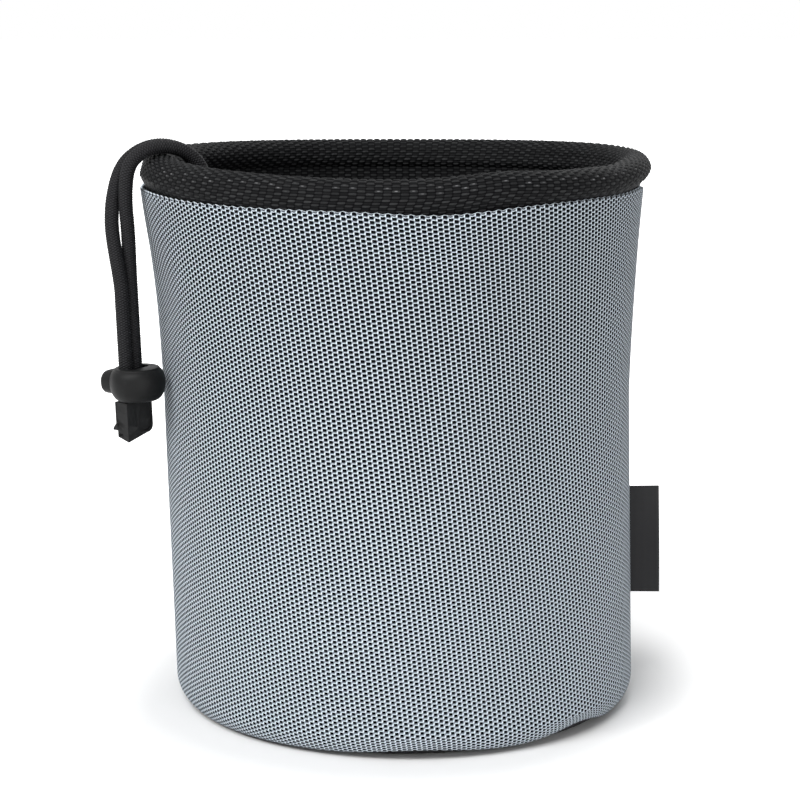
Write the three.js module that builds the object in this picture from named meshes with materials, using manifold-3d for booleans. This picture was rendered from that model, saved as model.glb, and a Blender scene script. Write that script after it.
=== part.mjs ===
// Peg bag: a round fabric bag with a hooped mouth bound in webbing, a gathered
// drawstring collar tucked inside it, and a sprung cord lock on the two cord tails,
// which come out of the collar, pass over the rim and hang down outside.
// Millimetres, +Z up, origin at the middle of the base's underside.
import * as THREE from "three";
import { mergeVertices } from "three/addons/utils/BufferGeometryUtils.js";
import Module from "manifold-3d";

const wasm = await Module();
wasm.setup();

// Clearance kept between pieces that touch
const FIT = 0.3;

// Bag wall
const BODY_RADIUS = 69.2;
const WALL_TOP = 153.6;
const WALL_THICKNESS = 0.9;
const FLARE = 4.1;
const FLARE_START = 92;
const FLARE_POWER = 1.35;

// Base
const BASE_THICKNESS = 1;
const BASE_CORNER = 6.5;
const BASE_FLANGE_TOP = 14;
const WALL_TUCK_DEG = 38;

// Lining
const LINING_THICKNESS = 0.6;
const LINING_BASE_TOP = 10;
const LINING_EASE = 0.8;

// Rim: a hoop inside a rolled webbing binding with two legs
const HOOP_RADIUS = 3;
const WEBBING_THICKNESS = 1.3;
const RIM_OVERHANG = 0.8;
const LEG_DEPTH = 10.9;

// Collar hanging inside the mouth, and the drawcord's hem at its lower edge
const COLLAR_THICKNESS = 0.6;
const HEM_DROP = 71.4;
const HEM_INSET = 10;
const HEM_HEIGHT = 12;
const HEM_CLOTH = 0.8;
const FOLD_COUNT = 9;
const FOLD_DEPTH = 4;
const FOLD_FADE = 20;

// Drawcord, and the two eyelets that let it out of the hem
const CORD_DIAMETER = 3.7;
const TAIL_AZIMUTH_DEG = 196.5;
const EYELET_SPACING = 12;
const EYELET_WALL = 0.5;
const EYELET_FLANGE = 0.9;
const EYELET_FLANGE_THICKNESS = 0.7;

// Straight hanging stretch of the tails, where the lock slides
const TAIL_OFFSET = 10.15;
const LOCK_DROP = 58.7;
const TAIL_TILT_DEG = 2;
const LOCK_YAW_DEG = 127.5;
const CORD_PITCH = 4;

// Cord lock: a bowl-shaped barrel, widest at the button's axis, with a lip round its mouth
const LOCK_RADIUS = 8.1;
const LOCK_RISE = 4.5;
const LOCK_FALL = 5;
const LOCK_MOUTH = 6.6;
const LOCK_LIP = 0.5;
const LOCK_FOOT = 5.2;
const LOCK_BORE = 3.8;
const LOCK_FUNNEL = 0.5;
const CORD_SETBACK = 2.4;
const PLUNGER_WIDTH = 10.6;
const PLUNGER_HEIGHT = 6.8;
const PLUNGER_ROUND = 3;
const PLUNGER_CROWN = 1.4;
const PLUNGER_TRAVEL = 2;
const PLUNGER_STANDOUT = 2.2;
const GRIP_BAR = 1.6;
const SPRING_DIAMETER = 4;
const SPRING_WIRE = 0.55;
const SPRING_TURNS = 4;
const SPRING_LENGTH = 5.2;

// Cord end: a tapered shell with a slanting foot, and a shorter cover with a snap lip
const END_HEIGHT = 11.4;
const END_WALL = 0.6;
const END_TAPER = 0.7;
const END_COVER = 0.5;
const END_COVER_RISE = 3;
const END_LIP = 1.2;
const END_GRIP = 7;
const END_SLANT = 1.6;
const END_RAKE = 1.2;
const END_CORNER = 2.4;
const END_RECESS = 6.2;

// Label in the side seam
const LABEL_HEIGHT = 33;
const LABEL_STANDOUT = 8.7;
const LABEL_THICKNESS = 0.9;
const LABEL_CENTRE = 46;

// Facets
const RING_SEGMENTS = 48;
const FOLD_SEGMENTS = 5;
const CORD_SIDES = 8;
const CORD_STEPS = 40;

// Each tail's route from its eyelet to the cord end, as distances from the centre of
// the rim's roll: outwards, sideways along the rim, and up. The two tails mirror each
// other as far as the rim's top, and the pair twists as it comes down outside.
const TAIL_OVER = [
  [-10.3, 6, -71.4],
  [-14.3, 5.6, -71.4],
  [-18, 5.2, -70.8],
  [-21.2, 4.8, -68.5],
  [-23, 4.5, -65.1],
  [-23.2, 4.1, -60.8],
  [-21.9, 3.7, -54.4],
  [-19.3, 3.2, -44.4],
  [-16.8, 2.8, -34.4],
  [-14.8, 2.4, -23.4],
  [-13.4, 2.1, -12.4],
  [-12.7, 2, -5.4],
  [-11.9, 2, -0.6],
  [-10.2, 2, 3.6],
  [-7.2, 2, 6.7],
  [-3.2, 2, 8.4],
  [0.7, 2, 8.8],
  [4.3, 2, 8.1],
];
const TAIL_FRONT_DOWN = [
  [7.05, 2, 6.6],
  [9.1, 1.95, 4.5],
  [10.2, 1.9, 1.9],
  [10.65, 1.7, -0.9],
  [10.85, 1.5, -3.8],
  [10.85, 1.25, -6.7],
  [10.7, 0.95, -9.6],
  [10.45, 0.7, -12.5],
  [10.1, 0.1, -17.5],
  [9.9, -0.45, -22.4],
  [9.7, -0.95, -27.2],
  [9.51, -1.22, -31.5],
  [9.36, -1.22, -36],
  [9.04, -1.22, -45],
  [8.73, -1.22, -54],
  [8.41, -1.22, -63],
  [8.14, -1.22, -70.9],
];
const TAIL_BACK_DOWN = [
  [7.35, -2, 6.6],
  [9.85, -1.95, 4.5],
  [11.6, -1.9, 1.9],
  [12.75, -1.7, -0.9],
  [13.55, -1.5, -3.8],
  [14.15, -1.25, -6.7],
  [14.5, -0.95, -9.6],
  [14.65, -0.7, -12.5],
  [14.4, -0.1, -17.5],
  [13.8, 0.45, -22.4],
  [13.15, 0.95, -27.2],
  [12.69, 1.22, -31.5],
  [12.53, 1.22, -36],
  [12.21, 1.22, -45],
  [11.9, 1.22, -54],
  [11.59, 1.22, -63],
  [11.31, 1.22, -70.9],
];

// Places worked out from the driving dimensions
const MOUTH_RADIUS = BODY_RADIUS + FLARE;
const BORE_RADIUS = BODY_RADIUS - WALL_THICKNESS;
const FLANGE_RADIUS = BORE_RADIUS - FIT;
const CORNER_RADIUS = FLANGE_RADIUS - BASE_CORNER;
const ROLL_BORE = HOOP_RADIUS + FIT;
const ROLL_OUTER = ROLL_BORE + WEBBING_THICKNESS;
const ROLL_RADIUS = MOUTH_RADIUS + RIM_OVERHANG - ROLL_OUTER;
const ROLL_LAP = MOUTH_RADIUS - WALL_THICKNESS - FIT - ROLL_RADIUS;
const ROLL_Z = WALL_TOP + Math.sqrt(ROLL_OUTER ** 2 - ROLL_LAP ** 2);
const LEG_BOTTOM = ROLL_Z - LEG_DEPTH;
const OUTER_LEG = wallRadius(LEG_BOTTOM) - WALL_THICKNESS - FIT;
const LINING_TOP_RADIUS = OUTER_LEG - WEBBING_THICKNESS - FIT;
const COLLAR_TOP_RADIUS = LINING_TOP_RADIUS - LINING_THICKNESS - FIT;
const INNER_LEG = COLLAR_TOP_RADIUS - COLLAR_THICKNESS - FIT;
const SEWN_TOP = ROLL_Z - ROLL_OUTER - FIT;
const CORD_RADIUS = CORD_DIAMETER / 2;
const HEM_Z = ROLL_Z - HEM_DROP;
const HEM_RADIUS = ROLL_RADIUS - HEM_INSET;
const HEM_BORE = CORD_RADIUS + 1.5 * FIT;
const HEM_HALF = HEM_BORE + HEM_CLOTH;
const TAIL_AZIMUTH = THREE.MathUtils.degToRad(TAIL_AZIMUTH_DEG);
const EYELET_BORE = CORD_RADIUS + FIT;
const EYELET_BARREL = EYELET_BORE + EYELET_WALL;
const SMOOTH_HALF = EYELET_SPACING / 2 + EYELET_BARREL + EYELET_FLANGE + FIT;
const CORD_SLOT_HALF = CORD_PITCH / 2 + CORD_RADIUS + FIT;

const fabric = (color) => new THREE.MeshStandardMaterial({ color, roughness: 0.9, metalness: 0 });
const plastic = (color) => new THREE.MeshStandardMaterial({ color, roughness: 0.55, metalness: 0 });
const metal = (color) => new THREE.MeshStandardMaterial({ color, roughness: 0.35, metalness: 1 });

const bag = new THREE.Group();

function addPiece(parent, name, geometry, material) {
  const mesh = new THREE.Mesh(geometry, material);
  mesh.name = name;
  parent.add(mesh);
  return mesh;
}

// Outside radius of the wall at a height: straight below, opening towards the mouth
function wallRadius(z) {
  const rise = Math.max(0, (z - FLARE_START) / (WALL_TOP - FLARE_START));
  return BODY_RADIUS + FLARE * rise ** FLARE_POWER;
}

// Outside radius of the lining, which stands off the wall and joins the rim's layers
function liningRadius(z) {
  const foot = FLANGE_RADIUS - BASE_THICKNESS - FIT;
  const full = BORE_RADIUS - LINING_EASE;
  const spread = THREE.MathUtils.smoothstep(z, BASE_FLANGE_TOP, 2 * BASE_FLANGE_TOP);
  const rise = THREE.MathUtils.clamp((z - FLARE_START) / (LEG_BOTTOM - FLARE_START), 0, 1);
  const body = THREE.MathUtils.lerp(foot, full, spread);
  return THREE.MathUtils.lerp(body, LINING_TOP_RADIUS, rise ** FLARE_POWER);
}

// Points from one height to another along a profile function
function profileBetween(radiusAt, from, to, count, offset = 0) {
  const points = [];
  for (let i = 0; i <= count; i += 1) {
    const z = THREE.MathUtils.lerp(from, to, i / count);
    points.push(new THREE.Vector2(radiusAt(z) + offset, z));
  }
  return points;
}

// Points on an arc in the profile plane, angles in degrees
function arc(x, z, radius, fromDeg, toDeg, count) {
  const points = [];
  for (let i = 0; i <= count; i += 1) {
    const angle = THREE.MathUtils.degToRad(THREE.MathUtils.lerp(fromDeg, toDeg, i / count));
    points.push(new THREE.Vector2(x + radius * Math.cos(angle), z + radius * Math.sin(angle)));
  }
  return points;
}

// Solid of revolution about Z. The profile runs anticlockwise in (radius, height).
function revolve(profile, segments = RING_SEGMENTS) {
  return new THREE.LatheGeometry(profile, segments).rotateX(Math.PI / 2);
}

const closed = (profile) => [...profile, profile[0]];

// Closed skin over rings of points. An open run of rings gets a cap at each end.
function loft(rings, ringClosed) {
  const sides = rings[0].length;
  const positions = rings.flat().flatMap((point) => point.toArray());
  const index = [];
  const spans = ringClosed ? rings.length : rings.length - 1;
  for (let i = 0; i < spans; i += 1) {
    const here = i * sides;
    const next = ((i + 1) % rings.length) * sides;
    for (let k = 0; k < sides; k += 1) {
      const after = (k + 1) % sides;
      index.push(here + k, next + k, next + after);
      index.push(here + k, next + after, here + after);
    }
  }
  if (!ringClosed) {
    const last = (rings.length - 1) * sides;
    for (let k = 1; k < sides - 1; k += 1) {
      index.push(0, k, k + 1);
      index.push(last, last + k + 1, last + k);
    }
  }
  const geometry = new THREE.BufferGeometry();
  geometry.setAttribute("position", new THREE.Float32BufferAttribute(positions, 3));
  geometry.setIndex(index);
  return geometry;
}

function toSolid(geometry) {
  const bare = geometry.clone();
  bare.deleteAttribute("normal");
  bare.deleteAttribute("uv");
  const merged = mergeVertices(bare, 1e-4);
  const vertProperties = new Float32Array(merged.attributes.position.array);
  const triVerts = new Uint32Array(merged.index.array);
  return new wasm.Manifold(new wasm.Mesh({ numProp: 3, vertProperties, triVerts }));
}

function toGeometry(solid) {
  const mesh = solid.getMesh();
  const geometry = new THREE.BufferGeometry();
  geometry.setAttribute("position", new THREE.Float32BufferAttribute(mesh.vertProperties, 3));
  geometry.setIndex(new THREE.Uint32BufferAttribute(mesh.triVerts, 1));
  geometry.computeVertexNormals();
  return geometry;
}

function cut(body, ...tools) {
  return toGeometry(tools.reduce((solid, tool) => solid.subtract(toSolid(tool)), toSolid(body)));
}

// Rectangle with round corners, centred on a point
function roundedRect(width, height, radius, cx = 0, cy = 0) {
  const w = width / 2 - radius;
  const h = height / 2 - radius;
  const shape = new THREE.Shape();
  shape.absarc(cx + w, cy - h, radius, -Math.PI / 2, 0);
  shape.absarc(cx + w, cy + h, radius, 0, Math.PI / 2);
  shape.absarc(cx - w, cy + h, radius, Math.PI / 2, Math.PI);
  shape.absarc(cx - w, cy - h, radius, Math.PI, 1.5 * Math.PI);
  return shape;
}

// Prism along Z between two heights
function prism(shape, from, to, curveSegments = 6) {
  const options = { depth: to - from, bevelEnabled: false, curveSegments };
  return new THREE.ExtrudeGeometry(shape, options).translate(0, 0, from);
}

// Turns a prism made along Z so that it runs along X, its shape's x going to Y and y to Z
const alongX = (geometry) => geometry.rotateX(Math.PI / 2).rotateZ(Math.PI / 2);

function outerWall() {
  const tuck = -WALL_TUCK_DEG;
  const inner = BASE_CORNER + FIT;
  const outside = [
    ...arc(CORNER_RADIUS, BASE_CORNER, inner + WALL_THICKNESS, tuck, 0, 3),
    ...profileBetween(wallRadius, FLARE_START / 2, FLARE_START, 1),
    ...profileBetween(wallRadius, FLARE_START, WALL_TOP, 6).slice(1),
  ];
  const inside = [
    ...profileBetween(wallRadius, WALL_TOP, FLARE_START, 4, -WALL_THICKNESS),
    ...arc(CORNER_RADIUS, BASE_CORNER, inner, 0, tuck, 3),
  ];
  return revolve(closed([...outside, ...inside]));
}

function basePanel() {
  const inner = FLANGE_RADIUS - BASE_THICKNESS;
  return revolve([
    new THREE.Vector2(0, 0),
    ...arc(CORNER_RADIUS, BASE_CORNER, BASE_CORNER, -90, 0, 4),
    new THREE.Vector2(FLANGE_RADIUS, BASE_FLANGE_TOP),
    new THREE.Vector2(inner, BASE_FLANGE_TOP),
    ...arc(CORNER_RADIUS, BASE_CORNER, BASE_CORNER - BASE_THICKNESS, 0, -90, 3),
    new THREE.Vector2(0, BASE_THICKNESS),
  ]);
}

function liningBase() {
  const outer = BASE_CORNER - BASE_THICKNESS - FIT;
  const inner = outer - LINING_THICKNESS;
  return revolve([
    new THREE.Vector2(0, BASE_CORNER - outer),
    ...arc(CORNER_RADIUS, BASE_CORNER, outer, -90, 0, 3),
    new THREE.Vector2(CORNER_RADIUS + outer, LINING_BASE_TOP),
    new THREE.Vector2(CORNER_RADIUS + inner, LINING_BASE_TOP),
    ...arc(CORNER_RADIUS, BASE_CORNER, inner, 0, -90, 3),
    new THREE.Vector2(0, BASE_CORNER - inner),
  ]);
}

function liningWall() {
  const foot = LINING_BASE_TOP + FIT;
  const stations = [foot, BASE_FLANGE_TOP, 2 * BASE_FLANGE_TOP, FLARE_START, LEG_BOTTOM, SEWN_TOP];
  const outside = stations.map((z) => new THREE.Vector2(liningRadius(z), z));
  const inside = outside.map((p) => new THREE.Vector2(p.x - LINING_THICKNESS, p.y)).reverse();
  return revolve(closed([...outside, ...inside]));
}

// Angle, from the roll's centre, at which a leg's face meets a circle of the roll
function legAngleDeg(radius, face) {
  const across = THREE.MathUtils.clamp((face - ROLL_RADIUS) / radius, -1, 1);
  return THREE.MathUtils.radToDeg(Math.asin(across)) - 90;
}

function rimBinding() {
  const outerFace = OUTER_LEG;
  const innerFace = INNER_LEG - WEBBING_THICKNESS;
  const outerBack = OUTER_LEG - WEBBING_THICKNESS;
  const start = legAngleDeg(ROLL_OUTER, outerFace);
  const end = legAngleDeg(ROLL_OUTER, innerFace) + 360;
  const innerStart = legAngleDeg(ROLL_BORE, INNER_LEG) + 360;
  const innerEnd = legAngleDeg(ROLL_BORE, outerBack);
  return revolve(closed([
    new THREE.Vector2(outerFace, LEG_BOTTOM),
    ...arc(ROLL_RADIUS, ROLL_Z, ROLL_OUTER, start, end, 10),
    new THREE.Vector2(innerFace, LEG_BOTTOM),
    new THREE.Vector2(INNER_LEG, LEG_BOTTOM),
    ...arc(ROLL_RADIUS, ROLL_Z, ROLL_BORE, innerStart, innerEnd, 7),
    new THREE.Vector2(outerBack, LEG_BOTTOM),
  ]));
}

function rimHoop() {
  return new THREE.TorusGeometry(ROLL_RADIUS, HOOP_RADIUS, 7, RING_SEGMENTS).translate(0, 0, ROLL_Z);
}

// How far the gathers have opened at a height: none at the rim, full at the hem
function gather(z) {
  return 1 - THREE.MathUtils.smoothstep(z, HEM_Z - HEM_HEIGHT, LEG_BOTTOM);
}

// Middle radius of the collar's cloth at an angle and height. The folds die away
// towards the eyelets, where the hem lies smooth.
function collarRadius(angle, z) {
  const away = Math.atan2(Math.sin(angle - TAIL_AZIMUTH), Math.cos(angle - TAIL_AZIMUTH));
  const distance = Math.abs(away) * HEM_RADIUS;
  const folded = THREE.MathUtils.smoothstep(distance, SMOOTH_HALF, SMOOTH_HALF + FOLD_FADE);
  const fold = FOLD_DEPTH * folded * Math.cos(FOLD_COUNT * away);
  const top = COLLAR_TOP_RADIUS - COLLAR_THICKNESS / 2;
  const open = gather(z);
  return top + open * (HEM_RADIUS - top) / gather(HEM_Z) + open * fold;
}

// Rings around the bag: at each angle a section of (outwards, height) points
function ringsAround(sectionAt, fromAngle, toAngle, count) {
  const rings = [];
  for (let i = 0; i <= count; i += 1) {
    const angle = THREE.MathUtils.lerp(fromAngle, toAngle, i / count);
    const along = (p) => new THREE.Vector3(p.x * Math.cos(angle), p.x * Math.sin(angle), p.y);
    rings.push(sectionAt(angle).map(along));
  }
  return rings;
}

const fullRing = (sectionAt) => {
  const count = FOLD_COUNT * FOLD_SEGMENTS;
  return loft(ringsAround(sectionAt, TAIL_AZIMUTH, TAIL_AZIMUTH + 2 * Math.PI, count).slice(0, -1), true);
};

// Upright section with round ends that follows the hem
function hemSection(angle, halfThickness, height, sides) {
  const centre = collarRadius(angle, HEM_Z);
  const straight = height / 2 - halfThickness;
  return [
    ...arc(centre, HEM_Z - straight, halfThickness, -180, 0, sides / 2 - 1),
    ...arc(centre, HEM_Z + straight, halfThickness, 0, 180, sides / 2 - 1),
  ];
}

function collarSkin(angle) {
  const radiusAt = (z) => collarRadius(angle, z) + COLLAR_THICKNESS / 2;
  const foot = HEM_Z + HEM_HEIGHT / 2 - HEM_CLOTH;
  const outside = [
    ...profileBetween(radiusAt, foot, LEG_BOTTOM, 3),
    new THREE.Vector2(radiusAt(SEWN_TOP), SEWN_TOP),
  ];
  const inside = outside.map((p) => new THREE.Vector2(p.x - COLLAR_THICKNESS, p.y)).reverse();
  return [...outside, ...inside];
}

function eyeletBore(angle, radius) {
  const length = HEM_HALF + HEM_BORE;
  const bore = new THREE.CylinderGeometry(radius, radius, length, 16).rotateZ(Math.PI / 2);
  return bore.translate(collarRadius(angle, HEM_Z) - length / 2, 0, HEM_Z).rotateZ(angle);
}

const eyeletAngles = [1, -1].map((side) => TAIL_AZIMUTH + (side * EYELET_SPACING) / 2 / HEM_RADIUS);

function closureCollar() {
  const skin = toSolid(fullRing(collarSkin));
  const hem = toSolid(fullRing((angle) => hemSection(angle, HEM_HALF, HEM_HEIGHT, 8)));
  const tunnelHeight = HEM_HEIGHT - 2 * HEM_CLOTH;
  const tunnel = fullRing((angle) => hemSection(angle, HEM_BORE, tunnelHeight, 8));
  const bores = eyeletAngles.map((angle) => eyeletBore(angle, EYELET_BARREL + FIT));
  const tools = [tunnel, ...bores].map(toSolid);
  return toGeometry(tools.reduce((solid, tool) => solid.subtract(tool), skin.add(hem)));
}

function drawcordLoop() {
  const gap = (EYELET_SPACING / 2 + CORD_DIAMETER + FIT) / HEM_RADIUS;
  const step = (2 * Math.PI) / (FOLD_COUNT * FOLD_SEGMENTS);
  const first = Math.ceil(gap / step);
  const count = FOLD_COUNT * FOLD_SEGMENTS - 2 * first;
  const lastAngle = TAIL_AZIMUTH + 2 * Math.PI;
  const section = (angle) => {
    return arc(collarRadius(angle, HEM_Z), HEM_Z, CORD_RADIUS, 0, 360, CORD_SIDES).slice(1);
  };
  const body = ringsAround(section, TAIL_AZIMUTH + first * step, lastAngle - first * step, count);
  const [start, end] = [TAIL_AZIMUTH + gap, lastAngle - gap].map((angle) => {
    return ringsAround(section, angle, angle, 1)[0];
  });
  return loft([start, ...body, end], false);
}

// Eyelet about Z: a barrel through the cloth below a round-edged flange
function eyelet() {
  const flange = EYELET_BARREL + EYELET_FLANGE;
  const round = EYELET_FLANGE_THICKNESS / 2;
  const barrelEnd = -HEM_CLOTH - FIT;
  return revolve(closed([
    new THREE.Vector2(EYELET_BARREL, barrelEnd),
    new THREE.Vector2(EYELET_BARREL, FIT),
    ...arc(flange - round, FIT + round, round, -90, 90, 3),
    ...arc(EYELET_BORE + round, FIT + round, round, 90, 180, 2),
    new THREE.Vector2(EYELET_BORE, barrelEnd),
  ]), 16);
}

// Tail along its route: side is 1 for the front one and -1 for the back one
function cordTail(side, down) {
  const over = TAIL_OVER.map(([outwards, along, up]) => [outwards, side * along, up]);
  const points = [...over, ...down].map((point) => new THREE.Vector3(...point));
  const route = new THREE.CatmullRomCurve3(points, false, "centripetal");
  const section = new THREE.Shape(arc(0, 0, CORD_RADIUS, 0, 360, CORD_SIDES).slice(1));
  return new THREE.ExtrudeGeometry(section, { extrudePath: route, steps: CORD_STEPS });
}

// Lock pieces share a frame on the barrel's axis, level with the button: +X is the way the
// button is pressed and the cords pass along Z, side by side in Y, set back from the axis
const CORD_X = -CORD_SETBACK;
const GRIP_X = CORD_X + CORD_RADIUS + FIT;
const HOLE_BACK = GRIP_X + PLUNGER_TRAVEL + FIT;
const HOLE_FRONT = CORD_X - CORD_RADIUS - FIT;
const POCKET_END = GRIP_X + GRIP_BAR + PLUNGER_TRAVEL + FIT;
const SPRING_START = GRIP_X + GRIP_BAR;
const SPRING_END = SPRING_START + SPRING_LENGTH;
const SLOT_FRONT = HOLE_FRONT - PLUNGER_TRAVEL;

// Round mouth above the cords' slot, with a sloping edge
function lockMouth() {
  const from = PLUNGER_HEIGHT / 2;
  const top = LOCK_RISE + LOCK_FUNNEL;
  return revolve([
    new THREE.Vector2(0, from),
    new THREE.Vector2(LOCK_BORE, from),
    new THREE.Vector2(LOCK_BORE, LOCK_RISE - LOCK_FUNNEL),
    new THREE.Vector2(LOCK_BORE + 2 * LOCK_FUNNEL, top),
    new THREE.Vector2(0, top),
  ], 24);
}

function lockBarrel() {
  const bowl = (LOCK_FOOT + LOCK_RADIUS) / 2;
  const neck = (LOCK_MOUTH + LOCK_RADIUS) / 2;
  const lipBase = LOCK_RISE - LOCK_LIP;
  const outline = new THREE.Path();
  outline.moveTo(0, -LOCK_FALL);
  outline.lineTo(LOCK_FOOT, -LOCK_FALL);
  outline.bezierCurveTo(bowl, -LOCK_FALL, LOCK_RADIUS, -LOCK_FALL / 2, LOCK_RADIUS, 0);
  outline.bezierCurveTo(LOCK_RADIUS, LOCK_RISE / 2, neck, lipBase - LOCK_LIP, LOCK_MOUTH, lipBase);
  outline.quadraticCurveTo(LOCK_MOUTH, LOCK_RISE, LOCK_MOUTH - LOCK_LIP, LOCK_RISE);
  outline.lineTo(0, LOCK_RISE);
  const shell = revolve(outline.getPoints(4), 28);
  const slot = roundedRect(
    HOLE_BACK - HOLE_FRONT,
    2 * CORD_SLOT_HALF,
    CORD_RADIUS + FIT,
    (HOLE_BACK + HOLE_FRONT) / 2,
  );
  const pocketWidth = PLUNGER_WIDTH + 2 * FIT;
  const pocket = roundedRect(pocketWidth, PLUNGER_HEIGHT + 2 * FIT, PLUNGER_ROUND + FIT);
  const seatRadius = SPRING_DIAMETER / 2 + FIT;
  const seatLength = SPRING_END + FIT;
  const seat = new THREE.CylinderGeometry(seatRadius, seatRadius, seatLength, 16);
  return cut(
    shell,
    prism(slot, -2 * LOCK_FALL, 2 * LOCK_RISE, 4),
    lockMouth(),
    alongX(prism(pocket, -2 * LOCK_RADIUS, POCKET_END, 4)),
    seat.rotateZ(Math.PI / 2).translate(seatLength / 2, 0, 0),
  );
}

// Button with a crowned end, and a slot through it for the cords
function lockPlunger() {
  const face = -LOCK_RADIUS - PLUNGER_STANDOUT;
  const crown = PLUNGER_CROWN;
  const width = PLUNGER_WIDTH - 2 * crown;
  const outline = roundedRect(width, PLUNGER_HEIGHT - 2 * crown, PLUNGER_ROUND - crown);
  const depth = SPRING_START - face - 2 * crown;
  const bevel = { bevelThickness: crown, bevelSize: crown, bevelSegments: 3 };
  const bar = new THREE.ExtrudeGeometry(outline, { depth, curveSegments: 4, ...bevel });
  const slotWidth = GRIP_X - SLOT_FRONT;
  const slot = roundedRect(slotWidth, 2 * CORD_SLOT_HALF, CORD_RADIUS, (GRIP_X + SLOT_FRONT) / 2);
  const slotTool = prism(slot, -PLUNGER_HEIGHT, PLUNGER_HEIGHT, 4);
  return cut(alongX(bar.translate(0, 0, face + crown)), slotTool);
}

// Coil spring along X between the plunger and the end of its seat
function lockSpring() {
  const from = SPRING_START + FIT;
  const length = SPRING_LENGTH - FIT - SPRING_WIRE;
  const coil = SPRING_DIAMETER / 2 - SPRING_WIRE / 2;
  const steps = SPRING_TURNS * 8;
  const centres = [];
  for (let i = 0; i <= steps; i += 1) {
    const turn = (2 * Math.PI * i) / 8;
    const x = from + SPRING_WIRE / 2 + (length * i) / steps;
    centres.push(new THREE.Vector3(x, coil * Math.cos(turn), coil * Math.sin(turn)));
  }
  console.log(`lock_spring: least gap between turns ${leastGap(centres, 6, SPRING_WIRE).toFixed(2)} mm`);
  const rings = centres.map((centre) => {
    const out = new THREE.Vector3(0, centre.y, centre.z).normalize();
    return [0, 1, 2, 3, 4].map((k) => {
      const angle = (2 * Math.PI * k) / 5;
      const side = out.clone().multiplyScalar(Math.cos(angle)).setX(Math.sin(angle));
      return side.multiplyScalar(SPRING_WIRE / 2).add(centre);
    });
  });
  return loft(rings, false);
}

// Least clear distance between points of a tube that lie at least some steps apart
function leastGap(centres, apart, diameter) {
  let least = Infinity;
  for (let i = 0; i < centres.length; i += 1) {
    for (let k = i + apart; k < centres.length; k += 1) {
      least = Math.min(least, centres[i].distanceTo(centres[k]) - diameter);
    }
  }
  return least;
}

// Cord end, in the lock's frame moved to the cords: a shell that grips the two cords
// from one broad side and a cover that snaps on over the other
const END_FIT = FIT / 2;
const END_TOP = -LOCK_FALL - FIT;
const END_BOTTOM = END_TOP - END_HEIGHT;
const END_GROOVE_HALF = CORD_PITCH / 2 + CORD_RADIUS + END_FIT;
const END_FACE = CORD_RADIUS + END_FIT + END_WALL;
const END_SPLIT = -CORD_RADIUS - END_FIT;
const END_BACK = END_SPLIT - END_FIT - END_COVER;
const END_BACK_HALF = END_GROOVE_HALF + END_WALL;
const END_FACE_HALF = END_BACK_HALF + END_TAPER;

// Broad-side outline at a place along X, anticlockwise: its sides taper towards the back,
// and its foot rises to a round corner
function endRing(x, foot, slant) {
  const half = THREE.MathUtils.mapLinear(x, END_BACK, END_FACE, END_BACK_HALF, END_FACE_HALF);
  const corner = foot + slant;
  const shape = new THREE.Shape();
  shape.moveTo(-half, END_TOP);
  shape.lineTo(-half, foot);
  shape.lineTo(half - END_CORNER, corner);
  shape.quadraticCurveTo(half, corner, half, corner + END_CORNER);
  shape.lineTo(half, END_TOP);
  return shape.getPoints(4).map((p) => new THREE.Vector3(x, p.x, p.y));
}

function cordEndShell() {
  const face = endRing(END_FACE, END_BOTTOM, END_SLANT);
  const body = loft([face, endRing(END_SPLIT, END_BOTTOM + END_RAKE, END_SLANT)], false);
  const groove = roundedRect(2 * (CORD_RADIUS + END_FIT), 2 * END_GROOVE_HALF, CORD_RADIUS);
  const recessSide = END_FACE_HALF - END_WALL - END_RECESS / 2;
  const recessFoot = END_BOTTOM + END_SLANT + END_WALL;
  const recessHeight = END_TOP + END_HEIGHT - recessFoot;
  const recess = roundedRect(END_RECESS, recessHeight, END_CORNER, recessSide, recessFoot + recessHeight / 2);
  return cut(
    body,
    prism(groove, END_TOP - END_GRIP - END_FIT, END_TOP + END_HEIGHT),
    alongX(prism(recess, END_FACE - END_WALL / 2, END_FACE + END_WALL)),
  );
}

function cordEndCover() {
  const foot = END_BOTTOM + END_COVER_RISE;
  const plate = loft([endRing(END_BACK + END_COVER, foot, 0), endRing(END_BACK, foot, 0)], false);
  const lipWidth = 2 * END_BACK_HALF - END_CORNER;
  const lip = roundedRect(lipWidth, END_LIP, END_LIP / 3, -END_CORNER / 2, foot + END_LIP / 2);
  const ledge = alongX(prism(lip, END_BACK - END_LIP, END_BACK + END_COVER / 2));
  return toGeometry(toSolid(plate).add(toSolid(ledge)));
}

// Folded ribbon label: two leaves in one, with the round fold at the outer edge
function labelTab() {
  const root = BODY_RADIUS + FIT;
  const fold = root + LABEL_STANDOUT - LABEL_THICKNESS / 2;
  const shape = new THREE.Shape();
  shape.moveTo(root, -LABEL_THICKNESS / 3);
  shape.lineTo(fold, -LABEL_THICKNESS / 2);
  shape.absarc(fold, 0, LABEL_THICKNESS / 2, -Math.PI / 2, Math.PI / 2);
  shape.lineTo(root, LABEL_THICKNESS / 3);
  return prism(shape, LABEL_CENTRE - LABEL_HEIGHT / 2, LABEL_CENTRE + LABEL_HEIGHT / 2, 4);
}

addPiece(bag, "outer_wall", outerWall(), fabric(0x9aa0a8));
addPiece(bag, "base_panel", basePanel(), fabric(0x17181a));
addPiece(bag, "lining_base", liningBase(), fabric(0x1c1d20));
addPiece(bag, "lining_wall", liningWall(), fabric(0x1c1d20));
addPiece(bag, "rim_hoop", rimHoop(), plastic(0x2a2a2a));
addPiece(bag, "rim_binding", rimBinding(), fabric(0x141416));
addPiece(bag, "closure_collar", closureCollar(), fabric(0x1a1b1f));
addPiece(bag, "drawcord_loop", drawcordLoop(), fabric(0x101012));
addPiece(bag, "label_tab", labelTab(), fabric(0x121214));

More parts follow.
